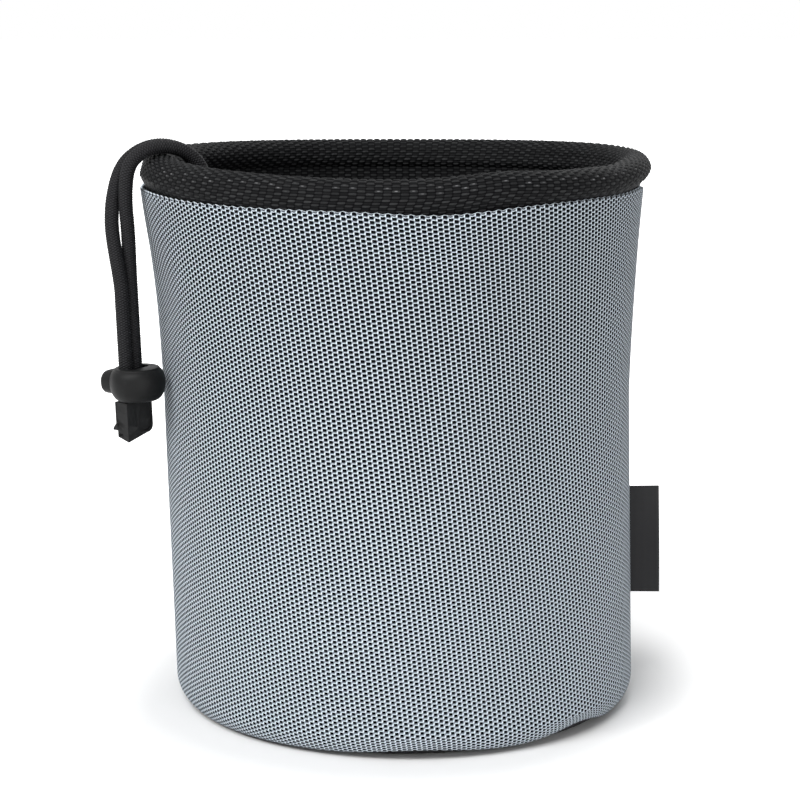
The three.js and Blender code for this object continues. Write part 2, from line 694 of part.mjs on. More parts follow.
["cord_eyelet_front", "cord_eyelet_back"].forEach((name, i) => {
  const place = new THREE.Group();
  place.rotation.z = eyeletAngles[i];
  const piece = addPiece(place, name, eyelet(), metal(0x202020));
  piece.position.set(collarRadius(eyeletAngles[i], HEM_Z) - HEM_HALF, 0, HEM_Z);
  piece.rotation.y = -Math.PI / 2;
  bag.add(place);
});

const tails = new THREE.Group();
tails.rotation.z = TAIL_AZIMUTH;
bag.add(tails);

const route = new THREE.Group();
route.position.set(ROLL_RADIUS, 0, ROLL_Z);
tails.add(route);
addPiece(route, "cord_tail_front", cordTail(1, TAIL_FRONT_DOWN), fabric(0x101012));
addPiece(route, "cord_tail_back", cordTail(-1, TAIL_BACK_DOWN), fabric(0x101012));

// The hanging stretch leans out along the flared wall
const hang = new THREE.Group();
hang.position.set(TAIL_OFFSET, 0, -LOCK_DROP);
hang.rotation.order = "YZX";
hang.rotation.y = THREE.MathUtils.degToRad(TAIL_TILT_DEG);
hang.rotation.z = THREE.MathUtils.degToRad(LOCK_YAW_DEG);
route.add(hang);

const lock = new THREE.Group();
lock.position.x = -CORD_X;
hang.add(lock);
addPiece(lock, "lock_barrel", lockBarrel(), plastic(0x1b1b1c));
addPiece(lock, "lock_plunger", lockPlunger(), plastic(0x1b1b1c));
addPiece(lock, "lock_spring", lockSpring(), metal(0xb8bcc0));

addPiece(hang, "cord_end_shell", cordEndShell(), plastic(0x18181a));
addPiece(hang, "cord_end_cover", cordEndCover(), plastic(0x18181a));

export default bag;
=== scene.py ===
import math
from functools import partialmethod

import bpy
import numpy as np
from mathutils import Matrix, Vector


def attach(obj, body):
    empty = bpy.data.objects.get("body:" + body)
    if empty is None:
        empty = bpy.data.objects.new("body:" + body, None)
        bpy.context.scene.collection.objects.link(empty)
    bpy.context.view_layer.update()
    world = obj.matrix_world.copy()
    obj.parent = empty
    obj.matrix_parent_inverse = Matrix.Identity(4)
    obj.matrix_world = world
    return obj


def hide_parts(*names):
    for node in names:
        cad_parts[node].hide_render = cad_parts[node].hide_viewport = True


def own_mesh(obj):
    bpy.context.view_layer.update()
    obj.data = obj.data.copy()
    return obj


# Peg bag: the looks of its cloth, webbing, cord and moulded pieces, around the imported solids
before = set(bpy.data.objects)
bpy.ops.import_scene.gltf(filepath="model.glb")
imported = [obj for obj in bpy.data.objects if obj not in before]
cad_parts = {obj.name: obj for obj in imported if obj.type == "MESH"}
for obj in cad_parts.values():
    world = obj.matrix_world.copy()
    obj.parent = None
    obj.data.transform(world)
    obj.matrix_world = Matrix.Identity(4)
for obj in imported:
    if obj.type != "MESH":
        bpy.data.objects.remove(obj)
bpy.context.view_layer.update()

# Lengths below are in millimetres, as in the solids, and meshes are in metres
MM = 0.001

# View that the part is matched to: a square frame, looking along +Y and down
FRAME_PIXELS = 800
FOCAL_PIXELS = 2246.1
SENSOR = 36
CAMERA_PLACE = (1.0, -659.0, 216.7)
CAMERA_PITCH_DEG = 10.97

# Bag wall and base
BODY_RADIUS = 69.2
WALL_TOP = 153.6
WALL_THICKNESS = 0.9
FLARE = 4.1
FLARE_START = 92
FLARE_POWER = 1.35
BASE_CORNER = 6.5
BASE_THICKNESS = 1
BASE_FLANGE_TOP = 14
FLANGE_RADIUS = 68.0
CORNER_RADIUS = FLANGE_RADIUS - BASE_CORNER
FIT = 0.3
WALL_TUCK_DEG = 52

# Lining, and how far in and out it follows the wall's swells
LINING_THICKNESS = 0.6
LINING_BASE_TOP = 10
LINING_STAND_OFF = 1.7
LINING_SWELL = (-1.2, 0.3)

# Smooth cloth: the small disc in the middle of a round panel, yarns around the bag, and the
# pitch of the nylon's and the base's yarns
PANEL_DISC = 0.5
NYLON_YARNS = 960
NYLON_PITCH = 0.45
BASE_PITCH = 0.9

# Columns of points around the bag, and rows up it
SMOOTH_COLUMNS = 256
HOOP_COLUMNS = 192
COLLAR_COLUMNS = 1080
WALL_ROWS = 112
LINING_ROWS = 70
COLLAR_ROWS = 46

# Rim: a hoop in a rolled webbing binding with two legs
HOOP_RADIUS = 3
ROLL_RADIUS = 69.5
ROLL_HEIGHT = 157.395
ROLL_OUTER = 4.6
ROLL_BORE = 3.3
LEG_BOTTOM = 146.5
OUTER_LEG = 71.48
INNER_LEG = 68.08
WEBBING_THICKNESS = 1.3

# The mouth isn't quite level: its sides stand higher than its front and back, and the roll
# and the wall's edge wander. Each bump has an azimuth and spread in degrees, and a height.
LIFT_FROM = 96
LIFT_MEAN = 0.25
LIFT_SWING = 0.95
ROLL_BUMPS = ((-66, 12, 1.2), (-30, 9, -0.6), (195, 14, 0.8))
EDGE_FROM = 136
EDGE_DROPS = ((-150, 34, 1.2), (-79, 13, 1.2), (-24, 15, 0.7), (0, 10, 2.4), (180, 14, 1.2))

# The soft wall leans: how far each mm of height moves it along X and Y, and the level
# that stays in place
LEAN = (-0.0248, -0.018)
LEAN_LEVEL = 98

# Side seam of the wall: azimuth and spread in degrees, and depth. The weft rows of the two
# edges sewn together there miss each other by a step.
SEAM_DEPTH = 0.8
SIDE_SEAM = ((0, 0.7, SEAM_DEPTH),)
SEAM_STEP = 0.6

# Where the wall's lower edge draws back from under the base: azimuth and spread in degrees,
# and the share of its tuck
TUCK_GAPS = ((-43, 12, 0.6), (-86, 16, 0.32), (-95, 50, 0.15))

# Weave of the wall: warp columns around the bag, weft rows up it
WARP_COUNT = 308
WEFT_PITCH = 0.655
DOT_HALF_WIDTH = 0.2
DOT_HALF_HEIGHT = 0.66
DOT_LEAST = 0.84
DOT_GROWTH = 0.2
WARP_LEAN = 0.087
WEFT_RISE = 0.045
EDGE_LOOP = 0.2
EDGE_LOOP_DEPTH = 0.4
EDGE_COUNT = 1.1

# Where the weft is pulled askew: azimuth and spread in degrees, height, rise and drift. From
# a level below the mouth it comes straight.
WEFT_DRIFTS = ((-72, 20, 20, 24, 2.6),)
STRAIGHT_FROM = WALL_TOP - 30

# Webbing of the rim: floats and gaps around it in a checker pattern, their pitch across it,
# the share of their height that they have on the legs, how far the gaps dip, and the points
# on each float
RIM_FLOATS = 202
RIM_FLOAT_PITCH = 0.82
RIM_FLOAT_HEIGHT = 0.42
LEG_FLOATS = 0.6
GAP_DIP = 0.8
FLOAT_COLUMNS = 5
FLOAT_ROWS = 4
ROLL_START_DEG = -32

# Collar inside the mouth and the drawcord's hem
COLLAR_THICKNESS = 0.6
COLLAR_TOP_RADIUS = 68.68
SEWN_TOP = 152.5
HEM_HEIGHT = 12
HEM_Z = 86.0
HEM_RADIUS = 59.5
HEM_HALF = 3.1
HEM_TOP = HEM_Z + HEM_HEIGHT / 2
FOLD_COUNT = 9
FOLD_DEPTH = 4
FOLD_FADE = 20
SMOOTH_HALF = 9.85
FOLD_SHIFT = 0.15
GATHER_DEPTH = 1.5

# Uneven gathers of the collar: count around it, share and wobble
GATHERS = ((31, 0.45, 3), (53, 0.35, 5), (89, 0.2, 7))

# Rows of stitches: the thread, and how far it rises out of the cloth
THREAD_RADIUS = 0.26
STITCH_RISE = 0.3
STITCH_STEPS = 12
RIM_STITCHES = 130
RIM_STITCH_Z = 148.4
HEM_STITCHES = 150

# Drawcord, its eyelets and tails
CORD_DIAMETER = 3.7
CORD_RADIUS = CORD_DIAMETER / 2
TAIL_AZIMUTH = math.radians(196.5)
EYELET_SPACING = 12
EYELET_BORE = 2.15
EYELET_BARREL = 2.65
EYELET_FLANGE = 3.55
EYELET_FLANGE_THICKNESS = 0.7
BRAID_STRANDS = 8
BRAID_PITCH = 0.75
BRAID_HEIGHT = 0.5
BRAID_MIDDLE = 0.45
CORD_SIDES = 40
LOOP_SIDES = 16
LOOP_POINTS = 700
ROUTE_STEP = 0.2
ROUTE_SAMPLES = 4000

# Cord lock, in a frame on the barrel's axis, level with the button: +X is the way the
# button is pressed, and the cords pass along Z, side by side in Y
TAIL_OFFSET = 10.15
LOCK_DROP = 58.7
TAIL_TILT = math.radians(2)
LOCK_YAW = math.radians(127.5)
CORD_PITCH = 4
CORD_SETBACK = 2.4
LOCK_RADIUS = 8.1
LOCK_RISE = 4.5
LOCK_FALL = 5
LOCK_MOUTH = 6.6
LOCK_LIP = 0.5
LOCK_FOOT = 5.2
LOCK_BORE = 3.8
LOCK_FUNNEL = 0.5
PLUNGER_WIDTH = 10.6
PLUNGER_HEIGHT = 6.8
PLUNGER_ROUND = 3
PLUNGER_CROWN = 1.4
PLUNGER_TRAVEL = 2
PLUNGER_STANDOUT = 2.2
GRIP_BAR = 1.6
SPRING_LENGTH = 5.2
SPRING_DIAMETER = 4
SPRING_WIRE = 0.55
SPRING_TURNS = 4
CORD_SLOT_HALF = CORD_PITCH / 2 + CORD_RADIUS + FIT
GRIP_X = CORD_RADIUS + FIT - CORD_SETBACK
HOLE_FRONT = -CORD_RADIUS - FIT - CORD_SETBACK
HOLE_BACK = GRIP_X + PLUNGER_TRAVEL + FIT
SLOT_FRONT = HOLE_FRONT - PLUNGER_TRAVEL
SPRING_START = GRIP_X + GRIP_BAR
POCKET_END = SPRING_START + PLUNGER_TRAVEL + FIT

# Cord end, in the same frame moved to the cords
END_FIT = FIT / 2
END_HEIGHT = 11.4
END_WALL = 0.6
END_TAPER = 0.7
END_COVER = 0.5
END_COVER_RISE = 3
END_LIP = 1.2
END_LIP_ROOT = 2.6
END_LIP_TIP = 0.8
END_GRIP = 7
END_SLANT = 1.6
END_RAKE = 1.2
END_CORNER = 2.4
END_RECESS = 6.2
END_RECESS_DEPTH = 0.45
END_TOP = -LOCK_FALL - FIT
END_BOTTOM = END_TOP - END_HEIGHT
END_GROOVE_HALF = CORD_PITCH / 2 + CORD_RADIUS + END_FIT
END_FACE = CORD_RADIUS + END_FIT + END_WALL
END_SPLIT = -CORD_RADIUS - END_FIT
END_BACK = END_SPLIT - END_FIT - END_COVER
END_BACK_HALF = END_GROOVE_HALF + END_WALL
END_FACE_HALF = END_BACK_HALF + END_TAPER

# Moulded pieces: edges that turn by more than this are rounded, in so many steps
SHARP_DEG = 34
BEVEL_STEPS = 3

# Label in the side seam: its share of thickness there, the wave of its free edge, and the
# pitch of its yarns and ribs
LABEL_HEIGHT = 33
LABEL_STANDOUT = 8.7
LABEL_THICKNESS = 0.9
LABEL_CENTRE = 46
LABEL_PINCH = 0.7
LABEL_SWAY = 0.5
LABEL_WAVE = 9
RIBBON_PITCH = 0.5
RIB_PITCH = 0.35

# Each tail's route from its eyelet to the cord end, as distances from the centre of the
# rim's roll: outwards, sideways along the rim, and up. The two tails mirror each other as
# far as the rim's top, and the pair twists as it comes down outside.
TAIL_OVER = (
    (-10.3, 6, -71.4), (-14.3, 5.6, -71.4), (-18, 5.2, -70.8), (-21.2, 4.8, -68.5),
    (-23, 4.5, -65.1), (-23.2, 4.1, -60.8), (-21.9, 3.7, -54.4), (-19.3, 3.2, -44.4),
    (-16.8, 2.8, -34.4), (-14.8, 2.4, -23.4), (-13.4, 2.1, -12.4), (-12.7, 2, -5.4),
    (-11.9, 2, -0.6), (-10.2, 2, 3.6), (-7.2, 2, 6.7), (-3.2, 2, 8.4), (0.7, 2, 8.8),
    (4.3, 2, 8.1),
)
TAIL_FRONT_DOWN = (
    (7.05, 2, 6.6), (9.1, 1.95, 4.5), (10.2, 1.9, 1.9), (10.65, 1.7, -0.9),
    (10.85, 1.5, -3.8), (10.85, 1.25, -6.7), (10.7, 0.95, -9.6), (10.45, 0.7, -12.5),
    (10.1, 0.1, -17.5), (9.9, -0.45, -22.4), (9.7, -0.95, -27.2), (9.51, -1.22, -31.5),
    (9.36, -1.22, -36), (9.04, -1.22, -45), (8.73, -1.22, -54), (8.41, -1.22, -63),
    (8.14, -1.22, -70.9),
)
TAIL_BACK_DOWN = (
    (7.35, -2, 6.6), (9.85, -1.95, 4.5), (11.6, -1.9, 1.9), (12.75, -1.7, -0.9),
    (13.55, -1.5, -3.8), (14.15, -1.25, -6.7), (14.5, -0.95, -9.6), (14.65, -0.7, -12.5),
    (14.4, -0.1, -17.5), (13.8, 0.45, -22.4), (13.15, 0.95, -27.2), (12.69, 1.22, -31.5),
    (12.53, 1.22, -36), (12.21, 1.22, -45), (11.9, 1.22, -54), (11.59, 1.22, -63),
    (11.31, 1.22, -70.9),
)

# Soft swells of the wall's cloth: azimuth and spread in degrees, height and rise in mm,
# and how far the middle stands out. They begin above the base and fade towards the mouth.
WALL_SWELLS = (
    (-106, 40, 70, 45, 1.0),
    (-46, 30, 78, 46, -1.7),
    (-104, 18, 24, 15, 0.8),
    (-161, 13, 122, 17, -1.9),
)
SWELL_START = (2, 14)
SWELL_FADE = (WALL_TOP, WALL_TOP - 22)

# Studio, in metres and watts: each light's name, place, width and power, the point that they
# aim at, and the light that the white world gives
LIGHTS = (
    ("key", (-1.0, -1.75, 2.6), 2.0, 76),
    ("side", (-1.5, -1.0, 1.4), 0.4, 11),
    ("fill", (0.6, -1.2, 0.3), 0.8, 4.8),
    ("back", (0.7, 1.6, 1.3), 0.9, 12),
)
LIGHT_TARGET = (0, 0, 0.08)
WORLD_LIGHT = 0.32

# Floor, in metres: it glows white to the camera, but the glow fades near the bag, which paints a
# shadow round it on top of the cast one
FLOOR_HALF = 6.0
FLOOR_DROP = 0.0003
SHADOW_CORE = 0.072
SHADOW_END = 0.125
FLOOR_FAR = 0.5
NEAR_GLOW = 0.55
FAR_GLOW = 0.43


def smoothstep(low, high, value):
    share = np.clip((value - low) / (high - low), 0, 1)
    return share * share * (3 - 2 * share)


def arc(centre, radius, from_deg, to_deg, count):
    """Points (outwards, up) on an arc of a section."""
    angles = np.radians(np.linspace(from_deg, to_deg, count))
    return np.stack([centre[0] + radius * np.cos(angles), centre[1] + radius * np.sin(angles)], -1)


def straight(start, end, count):
    """Points from start to end of a section's straight stretch, both included."""
    share = np.linspace(0, 1, count)[:, None]
    return np.array(start) * (1 - share) + np.array(end) * share


def azimuths(count):
    return np.arange(count) * 2 * math.pi / count


def around(radius, azimuth, height):
    """Points of a grid in mm from radii, azimuths and heights that broadcast."""
    radius, azimuth, height = np.broadcast_arrays(radius, azimuth, height)
    return np.stack([radius * np.cos(azimuth), radius * np.sin(azimuth), height], -1)


def run_lengths(points):
    """Distance along each line of points, from the first."""
    steps = np.linalg.norm(np.diff(points, axis=0), axis=-1)
    return np.concatenate([np.zeros_like(steps[:1]), np.cumsum(steps, axis=0)])


def units(vectors):
    """Vectors made one long."""
    return vectors / np.linalg.norm(vectors, axis=-1, keepdims=True)


def corner_values(values, rows, columns):
    """Values on a grid of corners as one entry for each face corner."""
    corners = [values[:-1, :-1], values[:-1, 1:], values[1:, 1:], values[1:, :-1]]
    return np.stack(corners, 2)[:rows, :columns].reshape(rows * columns, 4, -1)


def add_object(name, data):
    """An object with the data, linked to the scene."""
    added = bpy.data.objects.new(name, data)
    bpy.context.scene.collection.objects.link(added)
    return added


def grid_piece(name, points, closed=False, capped=False, cloth=None):
    """Piece over a grid of points in mm, [row][column]. The columns join up, and so do the rows
    if it is closed. cloth counts yarns at each corner, with the joining ones again."""
    rows, columns = points.shape[:2]
    row_faces = rows if closed else rows - 1
    row, column = np.meshgrid(np.arange(row_faces + 1), np.arange(columns + 1), indexing="ij")
    faces = corner_values((row % rows) * columns + column % columns, row_faces, columns)[..., 0]
    lengths = run_lengths(np.concatenate([points, points[:1]])).mean(1)[: row_faces + 1]
    share = np.broadcast_to((lengths / lengths[-1])[:, None], row.shape)
    maps = {"OFBake": np.stack([column / columns, share], -1)}
    if cloth is not None:
        maps["cloth"] = cloth
    maps = {key: corner_values(value, row_faces, columns) for key, value in maps.items()}
    caps = []
    if capped:
        first = np.arange(columns)
        caps = [first[::-1], first + (rows - 1) * columns]
    flat = points.reshape(-1, 3)
    a, b, c, d = (flat[faces[:, k]] for k in range(4))
    inside_out = (a * (np.cross(b, c) + np.cross(c, d))).sum() < 0
    if inside_out:
        faces = faces[:, ::-1]
        maps = {key: value[:, ::-1] for key, value in maps.items()}
        caps = [cap[::-1] for cap in caps]
    mesh = bpy.data.meshes.new(name)
    mesh.from_pydata((flat * MM).tolist(), [], faces.tolist() + [cap.tolist() for cap in caps])
    padding = np.zeros((len(caps) * columns, 2))
    for key, value in maps.items():
        layer = mesh.uv_layers.new(name=key)
        corners = np.concatenate([value.reshape(-1, 2), padding])
        layer.uv.foreach_set("vector", corners.astype(np.float32).ravel())
    mesh.shade_smooth()
    mesh.update()
    return add_object(name, mesh)


def finish_piece(piece, look, slot, *nodes, body="bag"):
    """Gives a piece its look, hides the nodes it stands for and sets the body it rides on; slot, its
    finish, is not used.
    """
    piece.data.materials.clear()
    piece.data.materials.append(look.material)
    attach(piece, body)
    if nodes:
        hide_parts(*nodes)


class Field:
    """One value in a material's nodes, so that a pattern can be written as a formula."""

    def __init__(self, tree, socket):
        self.tree = tree
        self.socket = socket

    def math(self, operation, *others):
        inputs = dict(enumerate((self, *others)))
        return add_node(self.tree, "Math", inputs, 0, operation=operation)

    __add__ = partialmethod(math, "ADD")
    __sub__ = partialmethod(math, "SUBTRACT")
    __mul__ = partialmethod(math, "MULTIPLY")
    __truediv__ = partialmethod(math, "DIVIDE")
    floor = partialmethod(math, "FLOOR")
    fraction = partialmethod(math, "FRACT")
    larger = partialmethod(math, "MAXIMUM")

    def __rsub__(self, whole):
        return self * -1 + whole

    def wave(self):
        """1 at whole counts, and -1 halfway between them."""
        return (self * (2 * math.pi)).math("COSINE")

    def bell(self, centre, width):
        """1 at the centre, falling away smoothly over the width on both sides."""
        away = (self - centre) / width
        return (away * away * -1).math("EXPONENT")

    def ramp(self, low, high):
        """0 below low, 1 above high, and smooth between them."""
        inputs = {"Value": self, "From Min": low, "From Max": high}
        return add_node(self.tree, "MapRange", inputs, "Result", interpolation_type="SMOOTHSTEP")


def feed(tree, value, socket):
    """Links a field to a socket, or sets the socket to a plain value."""
    if isinstance(value, Field):
        tree.links.new(value.socket, socket)
    else:
        socket.default_value = value


def add_node(tree, kind, inputs, output, **settings):
    """The field that a new node puts out, from its inputs and settings."""
    node = tree.nodes.new("ShaderNode" + kind)
    for name, setting in settings.items():
        setattr(node, name, setting)
    for name, value in inputs.items():
        feed(tree, value, node.inputs[name])
    return Field(tree, node.outputs[output])


class Look:
    """A material with a Principled shader and short ways to add patterns to it."""

    def __init__(self, name, colour, roughness, specular=0.5):
        self.material = bpy.data.materials.new(name)
        self.material.use_nodes = True
        self.tree = self.material.node_tree
        self.shader = self.tree.nodes["Principled BSDF"]
        self.set("Base Color", (*colour, 1))
        self.set("Roughness", roughness)
        self.set("Specular IOR Level", specular)

    def set(self, name, value):
        feed(self.tree, value, self.shader.inputs[name])

    def node(self, kind, inputs, output, **settings):
        return add_node(self.tree, kind, inputs, output, **settings)

    def cloth(self):
        """The counts of yarns across and along the piece."""
        counts = self.node("UVMap", {}, "UV", uv_map="cloth")
        return [self.node("SeparateXYZ", {0: counts}, axis) for axis in "XY"]

    def place(self):
        """The place on the piece, in metres."""
        return self.node("TexCoord", {}, "Object")

    def distance(self):
        """Distance from the piece's origin, in metres."""
        return self.node("VectorMath", {0: self.place()}, "Value", operation="LENGTH")

    def noise(self, per_metre, detail=2.0, roughness=0.5, upright=1.0):
        """Noise over the piece. It is drawn out upwards where upright is below 1."""
        scaled = {0: self.place(), 1: (1, 1, upright)}
        drawn = self.node("VectorMath", scaled, 0, operation="MULTIPLY")
        inputs = {"Vector": drawn, "Scale": per_metre, "Detail": detail, "Roughness": roughness}
        return self.node("TexNoise", inputs, "Fac")

    def chance(self, x, y):
        """A fixed random value for each pair of whole counts."""
        pair = self.node("CombineXYZ", {"X": x, "Y": y}, 0)
        return self.node("TexWhiteNoise", {"Vector": pair}, "Value", noise_dimensions="2D")

    def mix(self, share, low, high):
        """Colour between two, each a colour or a field that gave one."""
        low, high = (part if isinstance(part, Field) else (*part, 1) for part in (low, high))
        return self.node("Mix", {0: share, 6: low, 7: high}, 2, data_type="RGBA")

    def colour(self, share, low, high):
        """Colours the surface between two colours."""
        self.set("Base Color", self.mix(share, low, high))

    def bump(self, height, depth_mm, strength):
        inputs = {"Strength": strength, "Distance": depth_mm * MM, "Height": height}
        self.set("Normal", self.node("Bump", inputs, "Normal"))


def woven_wall_look():
    """Coarse plain weave: black warp floats show as dots between pale, twisted weft yarns, which carry
    painted highlights.
    """
    look = Look("woven_wall", (0.36, 0.38, 0.41), 0.75, 0.06)
    warp, weft = look.cloth()
    # The dots grow towards the mouth, darkening the wall's top
    spread = weft.ramp(-WALL_TOP / WEFT_PITCH, 0) * DOT_GROWTH + DOT_LEAST
    dot, painted_highlight = woven_cell(warp, weft, 0, spread)
    other_dot, other_painted_highlight = woven_cell(warp, weft, 0.5, spread)
    dot = dot.larger(other_dot) * weft.ramp(EDGE_COUNT - 0.3, EDGE_COUNT - 0.5)
    # Painted highlight: the strokes of both cells, and a line along the fold's crest at the mouth
    painted_highlight = painted_highlight.larger(other_painted_highlight).larger(weft.bell(EDGE_COUNT - 0.1, 0.3))
    fibre = look.noise(2600, 3.0, 0.6)
    patch = look.noise(90, 2.0, 0.5)
    ground = look.mix(fibre * 0.5 + patch * 0.5, (0.083, 0.096, 0.115), (0.210, 0.244, 0.288))
    # The yarn colour goes to near white where the painted highlight falls
    pale = look.mix(painted_highlight, ground, (0.84, 0.93, 1.0))
    look.colour(dot, pale, (0.0015, 0.002, 0.003))
    look.bump(painted_highlight * 0.5 + dot * 0.35 + fibre * 0.15, 0.12, 0.5)
    return look


def woven_cell(warp, weft, shift, spread):
    """Black dot and painted highlight strokes of every other cell of the weave. The dots grow towards
    the mouth, which darkens the wall there."""
    across = (warp / 2 + shift).fraction() - 0.5
    up = ((weft / 2 + shift).fraction() - 0.5) * 2
    wide = (across / (spread * DOT_HALF_WIDTH)).math("POWER", 4)
    tall = (up / (spread * DOT_HALF_HEIGHT)).math("POWER", 4)
    dot = (wide + tall).ramp(1.3, 0.7)
    # One painted highlight stroke stands to the left of each dot, and another crosses above it
    stroke = (across - up * 0.08).bell(-0.26, 0.08) * up.bell(0.05, 0.75)
    over = (up + across * 0.9).bell(0.76, 0.2) * across.ramp(-0.28, -0.12) * across.ramp(0.3, 0.12)
    return dot, stroke.larger(over * 0.95)


def webbing_look():
    """Black webbing: checkered floats with painted shade in the gaps and on the lower floats, and
    painted glints on some float tops above the middle.
    """
    look = Look("rim_webbing", (0.010, 0.010, 0.011), 0.6, 0.04)
    along, over = look.cloth()
    number = look.chance(along.floor(), over.floor())
    under = ((along.floor() + over.floor()) / 2).fraction() * 2
    across = along.fraction() - 0.5
    up = over.fraction() - 0.5
    body = ((across / 0.5).math("POWER", 4) + (up / 0.42).math("POWER", 4)).ramp(1.1, 0.4)
    fibre = look.noise(5200, 2.0, 0.6)
    # Painted shade in the gaps between floats and on the floats that pass under, with a random tone
    # for each float and its fibres
    painted_gap_shade_and_tone = body * (under * -0.7 + 1) * (number * 0.5 + 0.5) * (fibre * 0.6 + 0.7)
    floats = look.mix(painted_gap_shade_and_tone, (0.0015, 0.0015, 0.002), (0.034, 0.035, 0.036))
    float_crest = across.bell(0, 0.3) * up.bell(0, 0.26) * (1 - under)
    # Painted glints: the crests of some floats turn pale in a band on the roll's upper outer side
    painted_glint = float_crest.ramp(0.5, 0.9) * number.ramp(0.6, 0.85) * over.bell(5.7, 1.3)
    look.colour(painted_glint * 0.7, floats, (0.26, 0.26, 0.27))
    look.set("Roughness", fibre * 0.25 + 0.45)
    look.bump(fibre, 0.08, 0.6)
    return look


def braid_look():
    """Black braided cord: crossing strands with painted shade in the gaps between them, and fine
    filaments along them.
    """
    look = Look("braided_cord", (0.012, 0.012, 0.013), 0.6, 0.14)
    turn, length = look.cloth()
    right = turn + length
    left = turn - length
    under = ((right.floor() + left.floor()) / 2).fraction() * 2
    across = (right + (left - right) * under).fraction() - 0.5
    along = (left + (right - left) * under).fraction() - 0.5
    strand = across.bell(0, 0.3) * along.bell(0, 0.42)
    fibre = look.noise(4200, 2.0, 0.6)
    # Painted shade in the gaps between strands, lighter along their middles
    look.colour(strand * (fibre + 0.4), (0.003, 0.003, 0.0035), (0.036, 0.036, 0.039))
    look.bump(strand * 0.7 + fibre * 0.3, 0.2, 0.6)
    return look


def nylon_look(name, colour, roughness):
    """Smooth black nylon with a fine weave, upright folds with painted shade in their hollows, and
    crumples.
    """
    look = Look(name, colour, roughness, 0.3)
    warp, weft = look.cloth()
    weave = warp.wave() * weft.wave()
    fold = look.noise(75, 3.0, 0.5, 0.3)
    crumple = look.noise(160, 3.0, 0.55, 0.6)
    darker = tuple(part * 0.6 for part in colour)
    # Painted shade: the colour darkens where the folds' bump is low
    look.colour(fold.ramp(0.35, 0.65), darker, colour)
    look.set("Sheen Weight", 0.15)
    look.bump(weave * 0.01 + fold + crumple * 0.3, 4.0, 0.7)
    return look


def thread_look():
    """Grey twisted sewing thread."""
    look = Look("sewing_thread", (0.09, 0.09, 0.088), 0.6, 0.2)
    twist = look.noise(3000, 2.0, 0.5)
    look.colour(twist, (0.05, 0.05, 0.049), (0.13, 0.13, 0.127))
    look.bump(twist, 0.05, 0.5)
    return look


def base_cloth_look():
    """Black coated cloth of the base, with a faint square weave."""
    look = Look("base_cloth", (0.010, 0.010, 0.011), 0.5, 0.2)
    warp, weft = look.cloth()
    weave = warp.wave() + weft.wave()
    scuff = look.noise(320, 4.0, 0.6)
    look.colour(scuff.ramp(0.5, 0.75), (0.008, 0.008, 0.009), (0.02, 0.02, 0.022))
    look.set("Roughness", scuff * 0.25 + 0.38)
    look.bump(weave * 0.25 + scuff * 0.3, 0.12, 0.6)
    return look


def moulded_look(name, colour, roughness, specular):
    """Matt moulded plastic with a fine grain and light scuffs."""
    look = Look(name, colour, roughness, specular)
    grain = look.noise(3800, 2.0, 0.5)
    scuff = look.noise(420, 5.0, 0.65)
    lighter = tuple(min(1, part * 1.7) for part in colour)
    look.colour(scuff.ramp(0.52, 0.8), colour, lighter)
    look.set("Roughness", scuff * 0.2 + (roughness - 0.1))
    look.bump(grain * 0.7 + scuff * 0.3, 0.05, 0.5)
    return look


def ribbon_look():
    """Bare satin ribbon with fine ribs across it, and painted shade in the grooves between them."""
    look = Look("label_ribbon", (0.009, 0.009, 0.010), 0.45, 0.25)
    along, across = look.cloth()
    rib = across.wave()
    yarn = along.wave()
    # Painted shade: the colour darkens in the ribs' grooves and lightens on their crests
    look.colour(rib * 0.5 + 0.5, (0.006, 0.006, 0.007), (0.014, 0.014, 0.016))
    look.set("Sheen Weight", 0.05)
    look.bump(rib * 0.6 + yarn * 0.3, 0.06, 0.6)
    return look


def metal_look(name, colour, roughness, metallic):
    look = Look(name, colour, roughness)
    look.set("Metallic", metallic)
    brushed = look.noise(2400, 3.0, 0.5)
    look.set("Roughness", brushed * 0.2 + (roughness - 0.1))
    look.bump(brushed, 0.02, 0.3)
    return look


def wall_radius(height):
    rise = np.clip((height - FLARE_START) / (WALL_TOP - FLARE_START), 0, None)
    return BODY_RADIUS + FLARE * rise ** FLARE_POWER


def turn_from(azimuth, centre):
    """Turns from one azimuth to others, the short way round."""
    return np.angle(np.exp(1j * (azimuth - centre)))


def mounds(azimuth, height, shapes):
    """Sum of smooth mounds, each with an azimuth and spread, a height and rise, and a depth."""
    total = 0
    for centre, spread, middle, rise, depth in shapes:
        turn = turn_from(azimuth, math.radians(centre)) / math.radians(spread)
        total = total + depth * np.exp(-(turn ** 2 + ((height - middle) / rise) ** 2))
    return total


def bumps(azimuth, shapes):
    """Sum of smooth bumps round the bag, each with an azimuth, a spread and a height."""
    return mounds(azimuth, 0, [(centre, spread, 0, 1, rise) for centre, spread, rise in shapes])


def saddle(azimuth):
    """How far the mouth stands above its level, by azimuth."""
    return LIFT_MEAN + LIFT_SWING * np.cos(2 * azimuth)


def rim_lift(azimuth, height):
    return saddle(azimuth) * smoothstep(LIFT_FROM, WALL_TOP, height)


def roll_lift(azimuth):
    return saddle(azimuth) + bumps(azimuth, ROLL_BUMPS)


def leaned(points, share=1):
    """Points in mm moved sideways with the leaning wall."""
    rise = (points[..., 2] - LEAN_LEVEL) * share
    points[..., 0] += LEAN[0] * rise
    points[..., 1] += LEAN[1] * rise
    return points


def sewn_share(height):
    """How far the layers sewn into the rim lean with the wall: not at all at the roll's middle."""
    return 1 - smoothstep(WALL_TOP, ROLL_HEIGHT + 1, height)


def wall_swell(azimuth, height):
    """How far the cloth stands out of the round wall, by azimuth and height."""
    fade = smoothstep(*SWELL_START, height) * smoothstep(*SWELL_FADE, height)
    return mounds(azimuth, height, WALL_SWELLS) * fade


